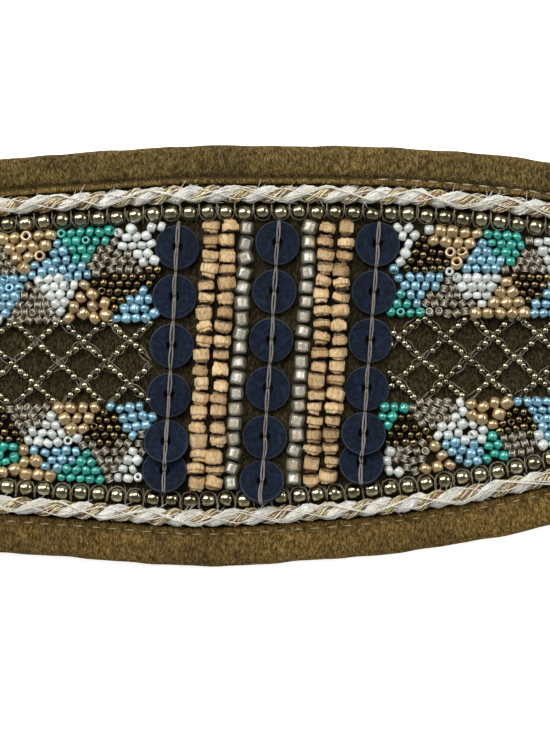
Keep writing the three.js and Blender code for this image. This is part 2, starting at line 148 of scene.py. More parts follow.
# The belt's outline: share of the taper length from the middle, then the upper and the lower
# edge's share of the way from the strap's half width to the full half width
OUTLINE = (
    (-1.0, 0, 0),
    (-0.82, 0.06, 0.06),
    (-0.64, 0.26, 0.26),
    (-0.5, 0.51, 0.51),
    (-0.39, 0.68, 0.68),
    (-0.29, 0.81, 0.81),
    (-0.213, 0.891, 0.884),
    (-0.135, 0.951, 0.942),
    (-0.056, 1, 1),
    (0.022, 1, 0.958),
    (0.1, 0.982, 0.884),
    (0.179, 0.917, 0.749),
    (0.218, 0.866, 0.658),
    (0.29, 0.76, 0.53),
    (0.39, 0.58, 0.37),
    (0.5, 0.37, 0.22),
    (0.64, 0.17, 0.1),
    (0.82, 0.04, 0.02),
    (1.0, 0, 0),
)

SIDES = {"upper": 1, "lower": -1}
ENDS = {"left": -1, "right": 1}

# Middles of the mosaic's patches, in millimetres from the belt's middle: the upper row and the
# lower row of each quarter, from the discs outwards. The patches are triangles that point down
# and up in turn.
PATCHES = {
    ("upper", "left"): (
        (("white", -28.7, 24.1), ("crystal", -34.9, 21.8), ("teal", -41.2, 23.9),
         ("blue", -46.5, 20.7), ("tan", -53.7, 23.2), ("crystal", -59.9, 21.4)),
        (("blue", -28.5, 11.0), ("bronze", -34.0, 14.4), ("tan", -39.7, 12.2),
         ("white", -46.9, 13.6), ("crystal", -52.6, 11.9), ("blue", -58.2, 13.6)),
    ),
    ("upper", "right"): (
        (("white", 28.6, 24.6), ("bronze", 33.5, 22.6), ("tan", 40.1, 24.1),
         ("blue", 46.1, 22.6), ("teal", 51.6, 23.8), ("crystal", 56.6, 22.0),
         ("white", 61.6, 23.0)),
        (("teal", 26.6, 12.6), ("blue", 32.3, 15.1), ("crystal", 38.4, 13.0),
         ("white", 45.0, 15.0), ("tan", 51.0, 12.4), ("bronze", 56.0, 14.4),
         ("blue", 61.6, 12.4)),
    ),
    ("lower", "left"): (
        (("blue", -30.9, -13.0), ("bronze", -36.8, -15.6), ("tan", -43.0, -13.2),
         ("white", -48.2, -16.4), ("crystal", -54.2, -13.4), ("bronze", -59.4, -16.0)),
        (("white", -30.3, -25.0), ("crystal", -36.0, -22.6), ("teal", -41.2, -24.4),
         ("blue", -47.1, -22.8), ("tan", -54.2, -24.4), ("teal", -60.0, -22.0)),
    ),
    ("lower", "right"): (
        (("teal", 24.9, -12.4), ("bronze", 29.6, -15.4), ("crystal", 35.1, -12.8),
         ("white", 41.7, -15.2), ("tan", 47.8, -12.8), ("bronze", 53.3, -14.4),
         ("blue", 58.9, -12.4)),
        (("white", 25.4, -24.4), ("crystal", 30.2, -22.9), ("tan", 36.2, -23.0),
         ("blue", 42.4, -22.4), ("teal", 48.7, -22.0), ("crystal", 54.4, -20.4),
         ("white", 58.6, -21.2)),
    ),
}

# Past the chart the patches go on: their colours in turn, the step from one to the next, and
# how far the middles of the outer and the inner row lie from the mosaic's outer edge
OUTER_CYCLE = ("white", "crystal", "teal", "blue", "tan", "bronze")
PATCH_PITCH = 5.9
PATCH_ROWS = (0.28, 0.75)
PATCH_TAPER = 0.17

# Seeds keep a share of their radius from the mosaic's edges and from the discs, and these
# lengths from the middle of the disc column and from the field's end
EDGE_TUCK = 0.6
DISC_TUCK = 0.75
COLUMN_CLEARANCE = 3.4
FIELD_END_CLEARANCE = 9.5

# Two seeds nearer than this share of the sum of their radii are too close for both to stay
CROWDED = 0.8
LOOSE_TRIES = 3000

# Shares of round, long and cut seeds, and of seeds that stand up with their hole in view
SEED_FORMS = (0.56, 0.36, 0.08)
UPRIGHT_SEEDS = 0.05

# Diameter of each colour's seed beads, as a share of the usual seed bead
SEED_SHARES = {
    "white": 1.0, "teal": 0.98, "blue": 1.0, "tan": 1.24, "bronze": 0.84, "crystal": 0.9,
}


# Sizes and colours that a user would change

def length(name, description, default):
    return FloatProperty(name=name, description=description, default=default, unit="LENGTH")


def colour(name, description, default):
    return FloatVectorProperty(
        name=name, description=description, default=default,
        subtype="COLOR", size=3, min=0.0, max=1.0,
    )


class BeltSizes(bpy.types.PropertyGroup):
    """Sizes of the beads, threads and cords"""

    nap_depth: length("Nap depth", "Depth of the suede's nap", 0.0004)
    stitch_pitch: length("Stitch pitch", "From one topstitch to the next", 0.0037)
    stitch_length: length("Stitch length", "Length of one topstitch", 0.0023)
    stitch_inset: length("Stitch inset", "From the belt's edge to the topstitch", 0.0072)
    stitch_diameter: length("Stitch thread", "Diameter of the topstitch thread", 0.00042)
    cord_turn: length("Cord turn", "Length of one turn of the trim cord", 0.0083)
    couching_wave: length("Couching wave", "Length of one zigzag of couching thread", 0.0196)
    couching_diameter: length("Couching thread", "Diameter of the couching thread", 0.00022)
    bronze_diameter: length("Bronze bead", "Diameter of a bronze bead", 0.0032)
    bronze_pitch: length("Bronze pitch", "From one bronze bead to the next", 0.004)
    silver_diameter: length("Silver bead", "Diameter of a silver-lined bead", 0.0033)
    silver_count: IntProperty(
        name="Silver beads", description="Silver-lined beads in a string", default=18, min=2
    )
    seed_diameter: length("Seed bead", "Diameter of the usual seed bead", 0.0022)
    net_bead_diameter: length("Net bead", "Diameter of a net bead", 0.00175)
    net_bead_pitch: length("Net bead pitch", "From one net bead to the next", 0.00195)
    fine_thread: length("Fine thread", "Diameter of the beading thread", 0.00018)
    chain_thread: length("Chain thread", "Diameter of the chain's thread", 0.00036)


class BeltColours(bpy.types.PropertyGroup):
    """Colours of the belt's finishes"""

    suede: colour("Suede", "Folded edging and straps", (0.15, 0.094, 0.028))
    # The same suede as the edging, made much darker: painted shade under the beadwork
    ground: colour("Ground", "Suede under the beadwork", (0.043, 0.033, 0.0145))
    topstitch: colour("Topstitch", "Thread along the edging", (0.48, 0.4, 0.24))
    white_strand: colour("White strand", "Fuzzy strand of the trim cord", (1.0, 0.98, 0.89))
    gold: colour("Gold", "Gold thread of the trim cord", (1.0, 0.76, 0.36))
    copper: colour("Copper", "Copper thread of the trim cord", (0.46, 0.28, 0.1))
    umber: colour("Umber", "Dark thread of the trim cord", (0.2, 0.115, 0.07))
    couching: colour("Couching", "Thread that holds the cords down", (1.0, 0.92, 0.72))
    fine_thread: colour("Fine thread", "Beading thread", (0.34, 0.3, 0.22))
    chain: colour("Chain thread", "Thread of the disc columns", (0.22, 0.195, 0.165))
    bronze: colour("Bronze", "Coat of the bronze beads", (0.45, 0.415, 0.27))
    dark_bronze: colour("Dark bronze", "Coat of the bronze seed beads", (0.2, 0.155, 0.07))
    navy: colour("Navy", "Dye of the coconut discs", (0.003, 0.0085, 0.021))
    wood: colour("Wood", "Bare pale wood", (0.68, 0.5, 0.28))
    scorch: colour("Scorched wood", "Orange-brown spots of the wood", (0.5, 0.28, 0.09))
    silver: colour("Silver", "Lining of the clear beads", (0.97, 0.94, 0.84))
    champagne: colour("Champagne", "Tarnish of the silver lining", (0.85, 0.66, 0.36))
    glass: colour("Glass", "Clear glass of the silver-lined beads", (0.55, 0.53, 0.43))
    seed_glass: colour("Seed glass", "Clear glass of the seed beads", (0.42, 0.37, 0.28))
    seed_lining: colour("Seed lining", "Bright parts of clear seeds", (1.0, 0.95, 0.8))
    white: colour("White beads", "White seed beads", (0.69, 0.73, 0.68))
    teal: colour("Teal beads", "Teal seed beads", (0.005, 0.34, 0.265))
    blue: colour("Blue beads", "Sky blue seed beads", (0.24, 0.5, 0.64))
    tan: colour("Tan beads", "Tan seed beads", (0.53, 0.37, 0.165))
    brass: colour("Brass", "Antique brass of the clasp", (0.4, 0.31, 0.14))


def sizes():
    return bpy.context.scene.belt_sizes


def colours():
    return bpy.context.scene.belt_colours


# Lines of the belt

def outline_share(side, x):
    """The outline table read smoothly at x, with no overshoot past its rows"""
    rows = np.array(OUTLINE, float)
    along, value = rows[:, 0], rows[:, 1 if side > 0 else 2]
    slope = np.diff(value) / np.diff(along)
    before, after = slope[:-1], slope[1:]
    same_way = before * after > 0
    total = np.where(same_way, before + after, 1)
    tangent = np.zeros(len(along))
    tangent[1:-1] = np.where(same_way, 2 * before * after / total, 0)
    place = np.clip(np.asarray(x, float) / TAPER_LENGTH, -1, 1)
    i = np.clip(np.searchsorted(along, place, side="right") - 1, 0, len(along) - 2)
    span = along[i + 1] - along[i]
    t = (place - along[i]) / span
    rise = t * t * (3 - 2 * t)
    curl = t * (1 - t)
    return (
        value[i] * (1 - rise)
        + value[i + 1] * rise
        + curl * (1 - t) * span * tangent[i]
        - curl * t * span * tangent[i + 1]
    )


def edge_reach(side, x):
    """How far the belt's edge is from its long axis"""
    return STRAP_WIDTH / 2 + (BELT_WIDTH - STRAP_WIDTH) / 2 * outline_share(side, x)


def middle_line(x):
    return (edge_reach(1, x) - edge_reach(-1, x)) / 2


def half_height(x):
    return (edge_reach(1, x) + edge_reach(-1, x)) / 2


def inset_line(side, inset, x, close, seam=0.0):
    """Heights of a line at an inset from an edge. Where close falls to 0 it meets the other."""
    reach = (half_height(x) - inset) * close + seam / 2 * (1 - close)
    return middle_line(x) + side * reach


def field_line(side, inset, step=0.5):
    """A line round the upper or lower half of the beaded field, with its ends rounded"""
    straight = BEADED_LENGTH / 2 - END_ROUNDING
    rounding = END_ROUNDING - (inset - EDGING_WIDTH)
    turn = np.linspace(0, math.pi / 2, 24)
    inner = np.linspace(-straight, straight, 240)
    x = np.concatenate([
        -straight - rounding * np.sin(turn[::-1]), inner[1:-1], straight + rounding * np.sin(turn)
    ])
    close = np.concatenate([np.cos(turn[::-1]), np.ones(len(inner) - 2), np.cos(turn)])
    y = inset_line(side, inset, x, close, 2 * MEETING_LENGTH)
    meet = side * (MEETING_LENGTH - LAYER_GAP / 2)
    x = np.concatenate([x[:1], x, x[-1:]])
    y = np.concatenate([y[:1] - meet, y, y[-1:] - meet])
    return even_steps(np.column_stack([x, y]), step)


def field_edge(side, x, inset):
    """Height of the field's edge at x, rounded at the field's ends"""
    straight = BEADED_LENGTH / 2 - END_ROUNDING
    rounding = END_ROUNDING - (inset - EDGING_WIDTH)
    past = np.clip((np.abs(x) - straight) / rounding, 0, 1)
    return inset_line(side, inset, x, np.sqrt(1 - past**2), LAYER_GAP)


def even_steps(line, step):
    """The same line with points at even steps"""
    line = np.asarray(line, float)
    pieces = np.linalg.norm(np.diff(line, axis=0), axis=1)
    run = np.concatenate([[0], np.cumsum(pieces)])
    places = np.linspace(0, run[-1], max(2, int(round(run[-1] / step)) + 1))
    return np.column_stack([np.interp(places, run, line[:, k]) for k in range(line.shape[1])])


def line_directions(line):
    ways = np.gradient(line, axis=0)
    return ways / np.linalg.norm(ways, axis=1)[:, None]


def line_normals(ways):
    """The directions turned a quarter to the left"""
    return np.column_stack([-ways[:, 1], ways[:, 0]])


def column_at(offset, y):
    """Where a column is along the belt at height y"""
    spread = 1 + COLUMN_SPREAD * y / (BELT_WIDTH / 2)
    return COLUMN_MIDDLE + COLUMN_LEAN * y + offset * spread


def column_line(offset):
    """Upper and lower end of a column, on the field's edges"""
    ends = []
    for side in (1, -1):
        guess = side * (edge_reach(side, offset) - FIELD_INSET)
        y = side * (edge_reach(side, column_at(offset, guess)) - FIELD_INSET)
        ends.append((float(column_at(offset, y)), float(y)))
    return np.array(ends)


def net_edge(side, x, clearance=0.0):
    past = np.clip((np.abs(x) - NET_STRAIGHT) / (NET_END - NET_STRAIGHT), 0, 1)
    close = np.cos(math.pi / 2 * past)
    middle = (NET_MIDDLE + NET_LEAN * x) * close + middle_line(x) * (1 - close)
    return middle + side * (NET_HALF_HEIGHT * close + clearance)


def waver(places, seed, wave_lengths, amounts):
    """A smooth wandering of a few waves, the same each time for one seed"""
    rng = np.random.default_rng(seed)
    total = np.zeros(len(places))
    for wave, amount in zip(wave_lengths, amounts):
        total += amount * np.sin(TURN * places / wave + rng.uniform(0, TURN))
    return total


# Shapes gathered into one mesh

class Gathered:
    """Small shapes gathered in millimetres, to be written as one mesh"""

    def __init__(self):
        self.points = []
        self.faces = []
        self.finishes = []
        self.tones = []
        self.count = 0

    def add(self, points, faces, finish=0, tone=0.5):
        points = np.asarray(points, float)
        self.points.append(points)
        by_group = finish if isinstance(finish, (list, tuple)) else [finish] * len(faces)
        for group, of_group in zip(faces, by_group):
            group = np.asarray(group) + self.count
            self.faces.append(group)
            self.finishes.append(np.full(len(group), of_group))
        self.tones.append(np.broadcast_to(tone, len(points)))
        self.count += len(points)

    def write(self, name, materials):
        """The gathered shapes as one object, whose place is in its mesh"""
        everything = np.concatenate(self.points) * MM
        faces = [tuple(face) for group in self.faces for face in group.tolist()]
        mesh = bpy.data.meshes.new(name)
        mesh.from_pydata(everything.tolist(), [], faces)
        for material in materials:
            mesh.materials.append(material)
        mesh.polygons.foreach_set("material_index", np.concatenate(self.finishes).astype(np.int32))
        mesh.polygons.foreach_set("use_smooth", np.ones(len(faces), bool))
        tone = mesh.attributes.new("tone", "FLOAT", "POINT")
        tone.data.foreach_set("value", np.concatenate(self.tones).astype(np.float32))
        mesh.update()
        piece = bpy.data.objects.new(name, mesh)
        bpy.context.scene.collection.objects.link(piece)
        return piece


def settle(piece, slot, *nodes):
    """The finished piece rides on the belt and stands for its solids"""
    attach(piece, "root")
    if nodes:
        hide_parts(*nodes)
    return piece


def select_only(piece=None):
    bpy.ops.object.select_all(action="DESELECT")
    if piece is not None:
        piece.select_set(True)
        bpy.context.view_layer.objects.active = piece


def take_shape():
    """Points and faces of the active object, in the units that it was modelled in"""
    piece = bpy.context.object
    bpy.ops.object.transform_apply(location=True, rotation=True, scale=True)
    points = np.array([v.co for v in piece.data.vertices], float)
    groups = {}
    for face in piece.data.polygons:
        groups.setdefault(len(face.vertices), []).append(tuple(face.vertices))
    faces = [np.array(group) for group in groups.values()]
    mesh = piece.data
    bpy.data.objects.remove(piece)
    bpy.data.meshes.remove(mesh)
    return points, faces


def pick(kind, test):
    """In edit mode, only the faces, edges or vertices that pass the test are selected"""
    bpy.ops.mesh.select_mode(type=kind)
    bpy.ops.mesh.select_all(action="DESELECT")
    held = bmesh.from_edit_mesh(bpy.context.object.data)
    things = {"VERT": held.verts, "EDGE": held.edges, "FACE": held.faces}[kind]
    for thing in things:
        if test(thing):
            thing.select_set(True)
    held.select_flush_mode()
    bmesh.update_edit_mesh(bpy.context.object.data)


def bead_shape(sides, around, bore, depth):
    """A bead one across with its hole along X. bore and depth are shares of its diameter."""
    select_only()
    wall = (1 - bore) / 4
    bpy.ops.mesh.primitive_torus_add(
        major_segments=sides, minor_segments=around, major_radius=bore / 2 + wall,
        minor_radius=wall, rotation=(0, math.pi / 2, 0),
    )
    bpy.context.object.scale = (1, 1, depth / (2 * wall))
    return take_shape()


def cut_bead_shape(sides, bore, depth, softness):
    """A bead cut from a tube, one across with its hole along X, with softened edges"""
    select_only()
    bpy.ops.mesh.primitive_cylinder_add(
        vertices=sides, radius=0.5, depth=depth, end_fill_type="NGON"
    )
    bpy.ops.object.mode_set(mode="EDIT")
    pick("FACE", lambda face: abs(face.normal.z) > 0.9)
    bpy.ops.mesh.inset(thickness=0.5 * (1 - bore), depth=0)
    bpy.ops.mesh.delete(type="FACE")
    pick("EDGE", lambda edge: edge.is_boundary)
    bpy.ops.mesh.bridge_edge_loops()
    outer = 0.489
    pick("EDGE", lambda edge: abs(abs(edge.verts[0].co.z) - depth / 2) < 1e-4
         and abs(edge.verts[0].co.z - edge.verts[1].co.z) < 1e-4
         and min(v.co.xy.length for v in edge.verts) > outer)
    bpy.ops.mesh.bevel(offset=softness, segments=2, affect="EDGES")
    bpy.ops.mesh.select_all(action="SELECT")
    bpy.ops.mesh.normals_make_consistent(inside=False)
    bpy.ops.object.mode_set(mode="OBJECT")
    bpy.context.object.rotation_euler = (0, math.pi / 2, 0)
    return take_shape()


def turn_matrix(heading, lift=0.0, roll=0.0):
    """Turns X to a heading in the belt's plane, lifted out of it, after a roll about X"""
    ch, sh = math.cos(heading), math.sin(heading)
    cl, sl = math.cos(lift), math.sin(lift)
    cr, sr = math.cos(roll), math.sin(roll)
    about_z = np.array([[ch, -sh, 0], [sh, ch, 0], [0, 0, 1]])
    about_y = np.array([[cl, 0, -sl], [0, 1, 0], [sl, 0, cl]])
    about_x = np.array([[1, 0, 0], [0, cr, -sr], [0, sr, cr]])
    return about_z @ about_y @ about_x


def placed(points, size, turn, place):
    """A shape's points at a size, a turn and a place"""
    return (points * np.asarray(size, float)) @ turn.T + np.asarray(place, float)


def sweep(lines, radius, sides=4):
    """Round tubes along lines that are given as an array: line, point, (x, y, z).
    The lines run mostly level. radius is one number or one for each point."""
    lines = np.asarray(lines, float)
    ways = np.gradient(lines, axis=1)
    ways /= np.linalg.norm(ways, axis=2, keepdims=True)
    across = np.cross(ways, np.array([0.0, 0.0, 1.0]))
    across /= np.maximum(np.linalg.norm(across, axis=2, keepdims=True), 1e-9)
    return tube_faces(lines, ways, across, radius, sides)


def thread(line, radius, sides=5):
    """A tube along one line that may turn any way"""
    line = np.asarray(line, float)
    ways = line_directions(line)
    aside = np.cross(ways[0], (0.0, 0.0, 1.0))
    if np.linalg.norm(aside) < 0.2:
        aside = np.cross(ways[0], (1.0, 0.0, 0.0))
    carried = []
    for way in ways:
        aside = aside - way * np.dot(aside, way)
        aside = aside / np.linalg.norm(aside)
        carried.append(aside)
    return tube_faces(line[None], ways[None], np.array(carried)[None], radius, sides)


def tube_faces(lines, ways, across, radius, sides):
    upward = np.cross(ways, across)
    radius = np.broadcast_to(np.asarray(radius, float), lines.shape[:2])[:, :, None, None]
    angle = np.linspace(0, TURN, sides, endpoint=False)
    ring = (
        np.cos(angle)[None, None, :, None] * across[:, :, None, :]
        + np.sin(angle)[None, None, :, None] * upward[:, :, None, :]
    )
    points = (lines[:, :, None, :] + radius * ring).reshape(-1, 3)
    count, steps = lines.shape[:2]
    base = (np.arange(count) * steps * sides)[:, None, None]
    here = base + (np.arange(steps - 1) * sides)[None, :, None]
    j = np.arange(sides)[None, None, :]
    following = (j + 1) % sides
    quads = np.stack(
        [here + j, here + following, here + sides + following, here + sides + j], axis=-1
    ).reshape(-1, 4)
    first = base[:, 0] + np.arange(sides)[::-1][None, :]
    last = base[:, 0] + (steps - 1) * sides + np.arange(sides)[None, :]
    return points, [quads, np.concatenate([first, last])]


# Materials

class Finish:
    """A material's nodes, made one by one"""

    def __init__(self, name, roughness, metallic=0.0):
        self.material = bpy.data.materials.new(name)
        self.material.use_nodes = True
        self.tree = self.material.node_tree
        self.shader = self.tree.nodes["Principled BSDF"]
        self.set(Roughness=roughness, Metallic=metallic)
        place = self.tree.nodes.new("ShaderNodeTexCoord")
        self.place = place.outputs["Object"]

    def set(self, **values):
        for name, value in values.items():
            self.shader.inputs[name.replace("_", " ")].default_value = value

    def link(self, output, target):
        if isinstance(target, str):
            target = self.shader.inputs[target]
        self.tree.links.new(output, target)

    def noise(self, scale, detail=3.0, roughness=0.5, stretch=None, turn=0.0):
        node = self.tree.nodes.new("ShaderNodeTexNoise")
        node.inputs["Scale"].default_value = scale
        node.inputs["Detail"].default_value = detail
        node.inputs["Roughness"].default_value = roughness
        place = self.place
        if stretch:
            mapping = self.tree.nodes.new("ShaderNodeMapping")
            mapping.inputs["Scale"].default_value = stretch
            mapping.inputs["Rotation"].default_value = (0, 0, turn)
            self.link(place, mapping.inputs["Vector"])
            place = mapping.outputs["Vector"]
        self.link(place, node.inputs["Vector"])
        return node.outputs["Fac"]

    def tone(self):
        node = self.tree.nodes.new("ShaderNodeAttribute")
        node.attribute_name = "tone"
        return node.outputs["Fac"]

    def ramp(self, factor, *stops):
        node = self.tree.nodes.new("ShaderNodeValToRGB")
        ramp = node.color_ramp
        while len(ramp.elements) < len(stops):
            ramp.elements.new(0.5)
        for element, (position, value) in zip(ramp.elements, stops):
            element.position = position
            element.color = (*value, 1)
        self.link(factor, node.inputs["Fac"])
        return node.outputs["Color"]

    def maths(self, operation, first, second):
        node = self.tree.nodes.new("ShaderNodeMath")
        node.operation = operation
        for socket, value in zip(node.inputs, (first, second)):
            if isinstance(value, (int, float)):
                socket.default_value = value
            else:
                self.link(value, socket)
        return node.outputs["Value"]

    def mix(self, factor, first, second, blend="MIX"):
        node = self.tree.nodes.new("ShaderNodeMix")
        node.data_type = "RGBA"
        node.blend_type = blend
        targets = (node.inputs[0], node.inputs[6], node.inputs[7])
        for socket, value in zip(targets, (factor, first, second)):
            if isinstance(value, (int, float)):
                socket.default_value = value
            elif isinstance(value, tuple):
                socket.default_value = (*value, 1)
            else:
                self.link(value, socket)
        return node.outputs[2]

    def product(self, first, *others):
        """Colours multiplied together"""
        for other in others:
            first = self.mix(1.0, first, other, "MULTIPLY")
        return first

    def mask(self, factor, start, stop):
        """Black up to start and white from stop on"""
        return self.ramp(factor, (start, (0, 0, 0)), (stop, (1, 1, 1)))

    def bump(self, height, distance, strength=1.0):
        node = self.tree.nodes.new("ShaderNodeBump")
        node.inputs["Distance"].default_value = distance
        node.inputs["Strength"].default_value = strength
        self.link(height, node.inputs["Height"])
        self.link(node.outputs["Normal"], "Normal")


def shade(value, share):
    """A colour made lighter or darker by a share"""
    return tuple(min(1.0, v * share) for v in value[:3])


def suede_finish(name, base):
    """Short nap in fine strokes, with painted shade in the stitched groove and under the fold, and
    brighter on the cut lip
    """
    finish = Finish(name, roughness=1.0)
    finish.set(Specular_IOR_Level=0.06)
    drift = finish.noise(22, 2, 0.5)
    blotches = finish.noise(110, 4, 0.65)
    strokes = finish.noise(2500, 3, 0.8, stretch=(1.45, 0.45, 1.0), turn=0.35)
    tufts = finish.noise(1150, 4, 0.8, stretch=(1.1, 0.8, 1.0), turn=-0.5)
    mixed = finish.maths("ADD", finish.maths("MULTIPLY", strokes, 0.6),
                         finish.maths("MULTIPLY", tufts, 0.4))
    pale_tips = tuple(value * 2.2 + 0.014 for value in base)
    nap = finish.ramp(
        mixed, (0.4, shade(base, 0.2)), (0.5, shade(base, 0.86)), (0.6, pale_tips)
    )
    patch = finish.ramp(blotches, (0.34, (0.75, 0.77, 0.84)), (0.66, (1.14, 1.11, 1.06)))
    wide = finish.ramp(drift, (0.38, (0.86, 0.86, 0.9)), (0.62, (1.08, 1.08, 1.05)))
    # The tone carries painted shade (the groove, the fold's underside and a stretch of the upper
    # edge) and the cut lip's lighter suede
    worn = finish.ramp(
        finish.tone(), (0.0, (0.35, 0.34, 0.33)), (0.5, (1.0, 1.0, 1.0)), (1.0, (1.6, 1.5, 1.3))
    )
    finish.link(finish.product(nap, patch, wide, worn), "Base Color")
    finish.bump(mixed, sizes().nap_depth, 1.0)
    return finish.material


def fleece_finish(base):
    """Fuzzy off-white yarn, bright all over with a fine uneven grain"""
    finish = Finish("white_filament", roughness=0.8)
    finish.set(Specular_IOR_Level=0.3, Sheen_Weight=0.35)
    grain = finish.noise(1900, 3, 0.6)
    cloud = finish.noise(260, 2, 0.5)
    spun = finish.ramp(grain, (0.32, shade(base, 0.82)), (0.6, shade(base, 1.1)))
    drift = finish.ramp(cloud, (0.35, (0.92, 0.89, 0.83)), (0.62, (1.0, 1.0, 1.0)))
    # Low tones darken: on the core they are painted shade under the filaments, on filaments a tone
    # that differs from one to the next
    by_thread = finish.ramp(finish.tone(), (0.0, (0.86, 0.84, 0.8)), (0.4, (1.0, 1.0, 1.0)))
    finish.link(finish.product(spun, drift, by_thread), "Base Color")
    finish.bump(grain, 0.00004, 0.4)
    return finish.material


def thread_finish(name, base, roughness=0.6, gloss=0.3):
    finish = Finish(name, roughness=roughness)
    finish.set(Specular_IOR_Level=gloss, Sheen_Weight=0.1)
    grain = finish.noise(2600, 2, 0.6)
    by_thread = finish.ramp(finish.tone(), (0.0, (0.62, 0.6, 0.55)), (0.5, (1.0, 1.0, 1.0)))
    spun = finish.ramp(grain, (0.3, shade(base, 0.6)), (0.7, shade(base, 1.25)))
    finish.link(finish.product(spun, by_thread), "Base Color")
    finish.bump(grain, 0.00004, 0.5)
    return finish.material


def metal_thread_finish(name, base):
    finish = Finish(name, roughness=0.38, metallic=0.4)
    grain = finish.noise(1500, 3, 0.6)
    finish.link(
        finish.ramp(grain, (0.32, shade(base, 0.6)), (0.62, shade(base, 1.3))), "Base Color"
    )
    finish.bump(grain, 0.00006, 0.8)
    return finish.material


def bronze_finish(name, base):
    finish = Finish(name, roughness=0.14, metallic=1.0)
    tone = finish.tone()
    finish.link(
        finish.ramp(tone, (0.0, shade(base, 0.6)), (0.5, base), (1.0, shade(base, 1.35))),
        "Base Color",
    )
    finish.bump(finish.noise(900, 2, 0.5), 0.00008, 0.35)
    return finish.material


def navy_finish(base):
    """Dyed coconut shell: a fine pitted grain with pale scratches and bloom, matt, and a painted
    highlight round the rim
    """
    finish = Finish("navy_coconut", roughness=0.42)
    finish.set(Specular_IOR_Level=0.17)
    pits = finish.noise(900, 5, 0.8)
    scratches = finish.noise(420, 4, 0.8, stretch=(3.2, 0.5, 1.0), turn=0.9)
    cloud = finish.noise(150, 3, 0.6)
    dyed = finish.ramp(
        pits, (0.4, shade(base, 0.4)), (0.5, base), (0.6, shade(base, 2.3))
    )
    bloom = finish.ramp(cloud, (0.35, (0.7, 0.75, 0.85)), (0.68, (1.5, 1.4, 1.3)))
    pale = finish.mask(scratches, 0.62, 0.74)
    whole = finish.product(dyed, bloom)
    rubbed = finish.mix(finish.maths("MULTIPLY", pale, 0.4), whole, (0.06, 0.08, 0.11))
    # Painted highlight: the band near the rim, given by the tone, turns pale in clouds
    edge = finish.mask(finish.tone(), 0.72, 1.0)
    painted_rim_highlight = finish.maths("MULTIPLY", edge, finish.maths("MULTIPLY", cloud, 0.9))
    finish.link(finish.mix(painted_rim_highlight, rubbed, (0.1, 0.12, 0.15)), "Base Color")
    grooves = finish.maths("ADD", pits, finish.maths("MULTIPLY", finish.tone(), 0.16))
    finish.bump(grooves, 0.0005, 1.0)
    return finish.material


def wood_finish(base):
    """Bare wood: fine grain, dark pores and scorched orange-brown spots, with painted shade from
    the tone at each bead's ends
    """
    finish = Finish("bare_wood", roughness=0.65)
    finish.set(Specular_IOR_Level=0.25)
    grain = finish.noise(1300, 4, 0.75, stretch=(1.5, 0.6, 1.0), turn=0.5)
    stain = finish.noise(420, 4, 0.7)
    fibre = finish.ramp(
        grain, (0.34, shade(base, 0.46)), (0.46, shade(base, 0.92)), (0.66, shade(base, 1.3))
    )
    scorch = tuple(colours().scorch)
    marks = finish.mask(stain, 0.48, 0.66)
    whole = finish.mix(finish.maths("MULTIPLY", marks, 0.6), fibre, scorch)
    # Low tones are painted shade at the bead's ends; the rest is a tone that differs from bead to
    # bead
    by_bead = finish.ramp(
        finish.tone(), (0.0, (0.12, 0.075, 0.045)), (0.4, (0.8, 0.73, 0.65)), (1.0, (1.4, 1.4, 1.4))
    )
    finish.link(finish.product(whole, by_bead), "Base Color")
    finish.bump(grain, 0.00035, 1.0)
    return finish.material


def end_grain_finish(base):
    finish = Finish("wood_end_grain", roughness=0.8)
    grain = finish.noise(1200, 4, 0.7)
    finish.link(
        finish.ramp(grain, (0.3, shade(base, 0.12)), (0.7, shade(base, 0.42))), "Base Color"
    )
    finish.bump(grain, 0.0002, 0.8)
    return finish.material


def clear_glass_finish(name, tint, cover):
    """Thin clear bead glass over a lining. Cover is how much the glass hides of it."""
    finish = Finish(name, roughness=0.06)
    finish.set(Alpha=cover, Specular_IOR_Level=0.8, Coat_Weight=1.0, Coat_Roughness=0.04)
    finish.link(
        finish.ramp(finish.tone(), (0.0, shade(tint, 0.7)), (1.0, tint)), "Base Color"
    )
    finish.bump(finish.noise(500, 2, 0.5), 0.00006, 0.3)
    return finish.material


def lining_finish(name, base):
    finish = Finish(name, roughness=0.22, metallic=0.12)
    finish.set(Coat_Weight=1.0, Coat_Roughness=0.12, Coat_IOR=2.2)
    flecks = finish.noise(1400, 3, 0.6)
    cloud = finish.noise(330, 2, 0.5)
    champagne = tuple(colours().champagne)
    tinted = finish.ramp(cloud, (0.44, base), (0.66, champagne))
    worn = finish.ramp(flecks, (0.3, (0.6, 0.58, 0.55)), (0.6, (1.15, 1.15, 1.15)))
    lit = finish.ramp(
        finish.tone(), (0.0, (0.1, 0.095, 0.08)), (0.45, (0.4, 0.38, 0.33)), (0.8, (1.0, 1.0, 1.0))
    )
    finish.link(finish.product(tinted, worn, lit), "Base Color")
    finish.bump(flecks, 0.0001, 0.6)
    return finish.material


def seed_finish(name, base, roughness, lustre=0.0):
    finish = Finish(name, roughness=roughness, metallic=lustre)
    finish.set(Coat_Weight=1.0, Coat_Roughness=0.06, Coat_IOR=1.9)
    tone = finish.tone()
    cloud = finish.noise(700, 2, 0.5)
    by_bead = finish.ramp(tone, (0.0, shade(base, 0.78)), (1.0, shade(base, 1.15)))
    veil = finish.ramp(cloud, (0.3, (0.88, 0.88, 0.88)), (0.7, (1.06, 1.06, 1.06)))
    finish.link(finish.product(by_bead, veil), "Base Color")
    finish.bump(cloud, 0.00005, 0.3)
    return finish.material


def brass_finish(base):
    finish = Finish("antique_brass", roughness=0.34, metallic=1.0)
    tarnish = finish.noise(140, 5, 0.65)
    scuffs = finish.noise(900, 3, 0.6, stretch=(1.0, 6.0, 1.0))
    finish.link(
        finish.ramp(tarnish, (0.3, shade(base, 0.4)), (0.6, base), (0.8, shade(base, 1.3))),
        "Base Color",
    )
    finish.bump(scuffs, 0.00004, 0.5)
    return finish.material


# The stage

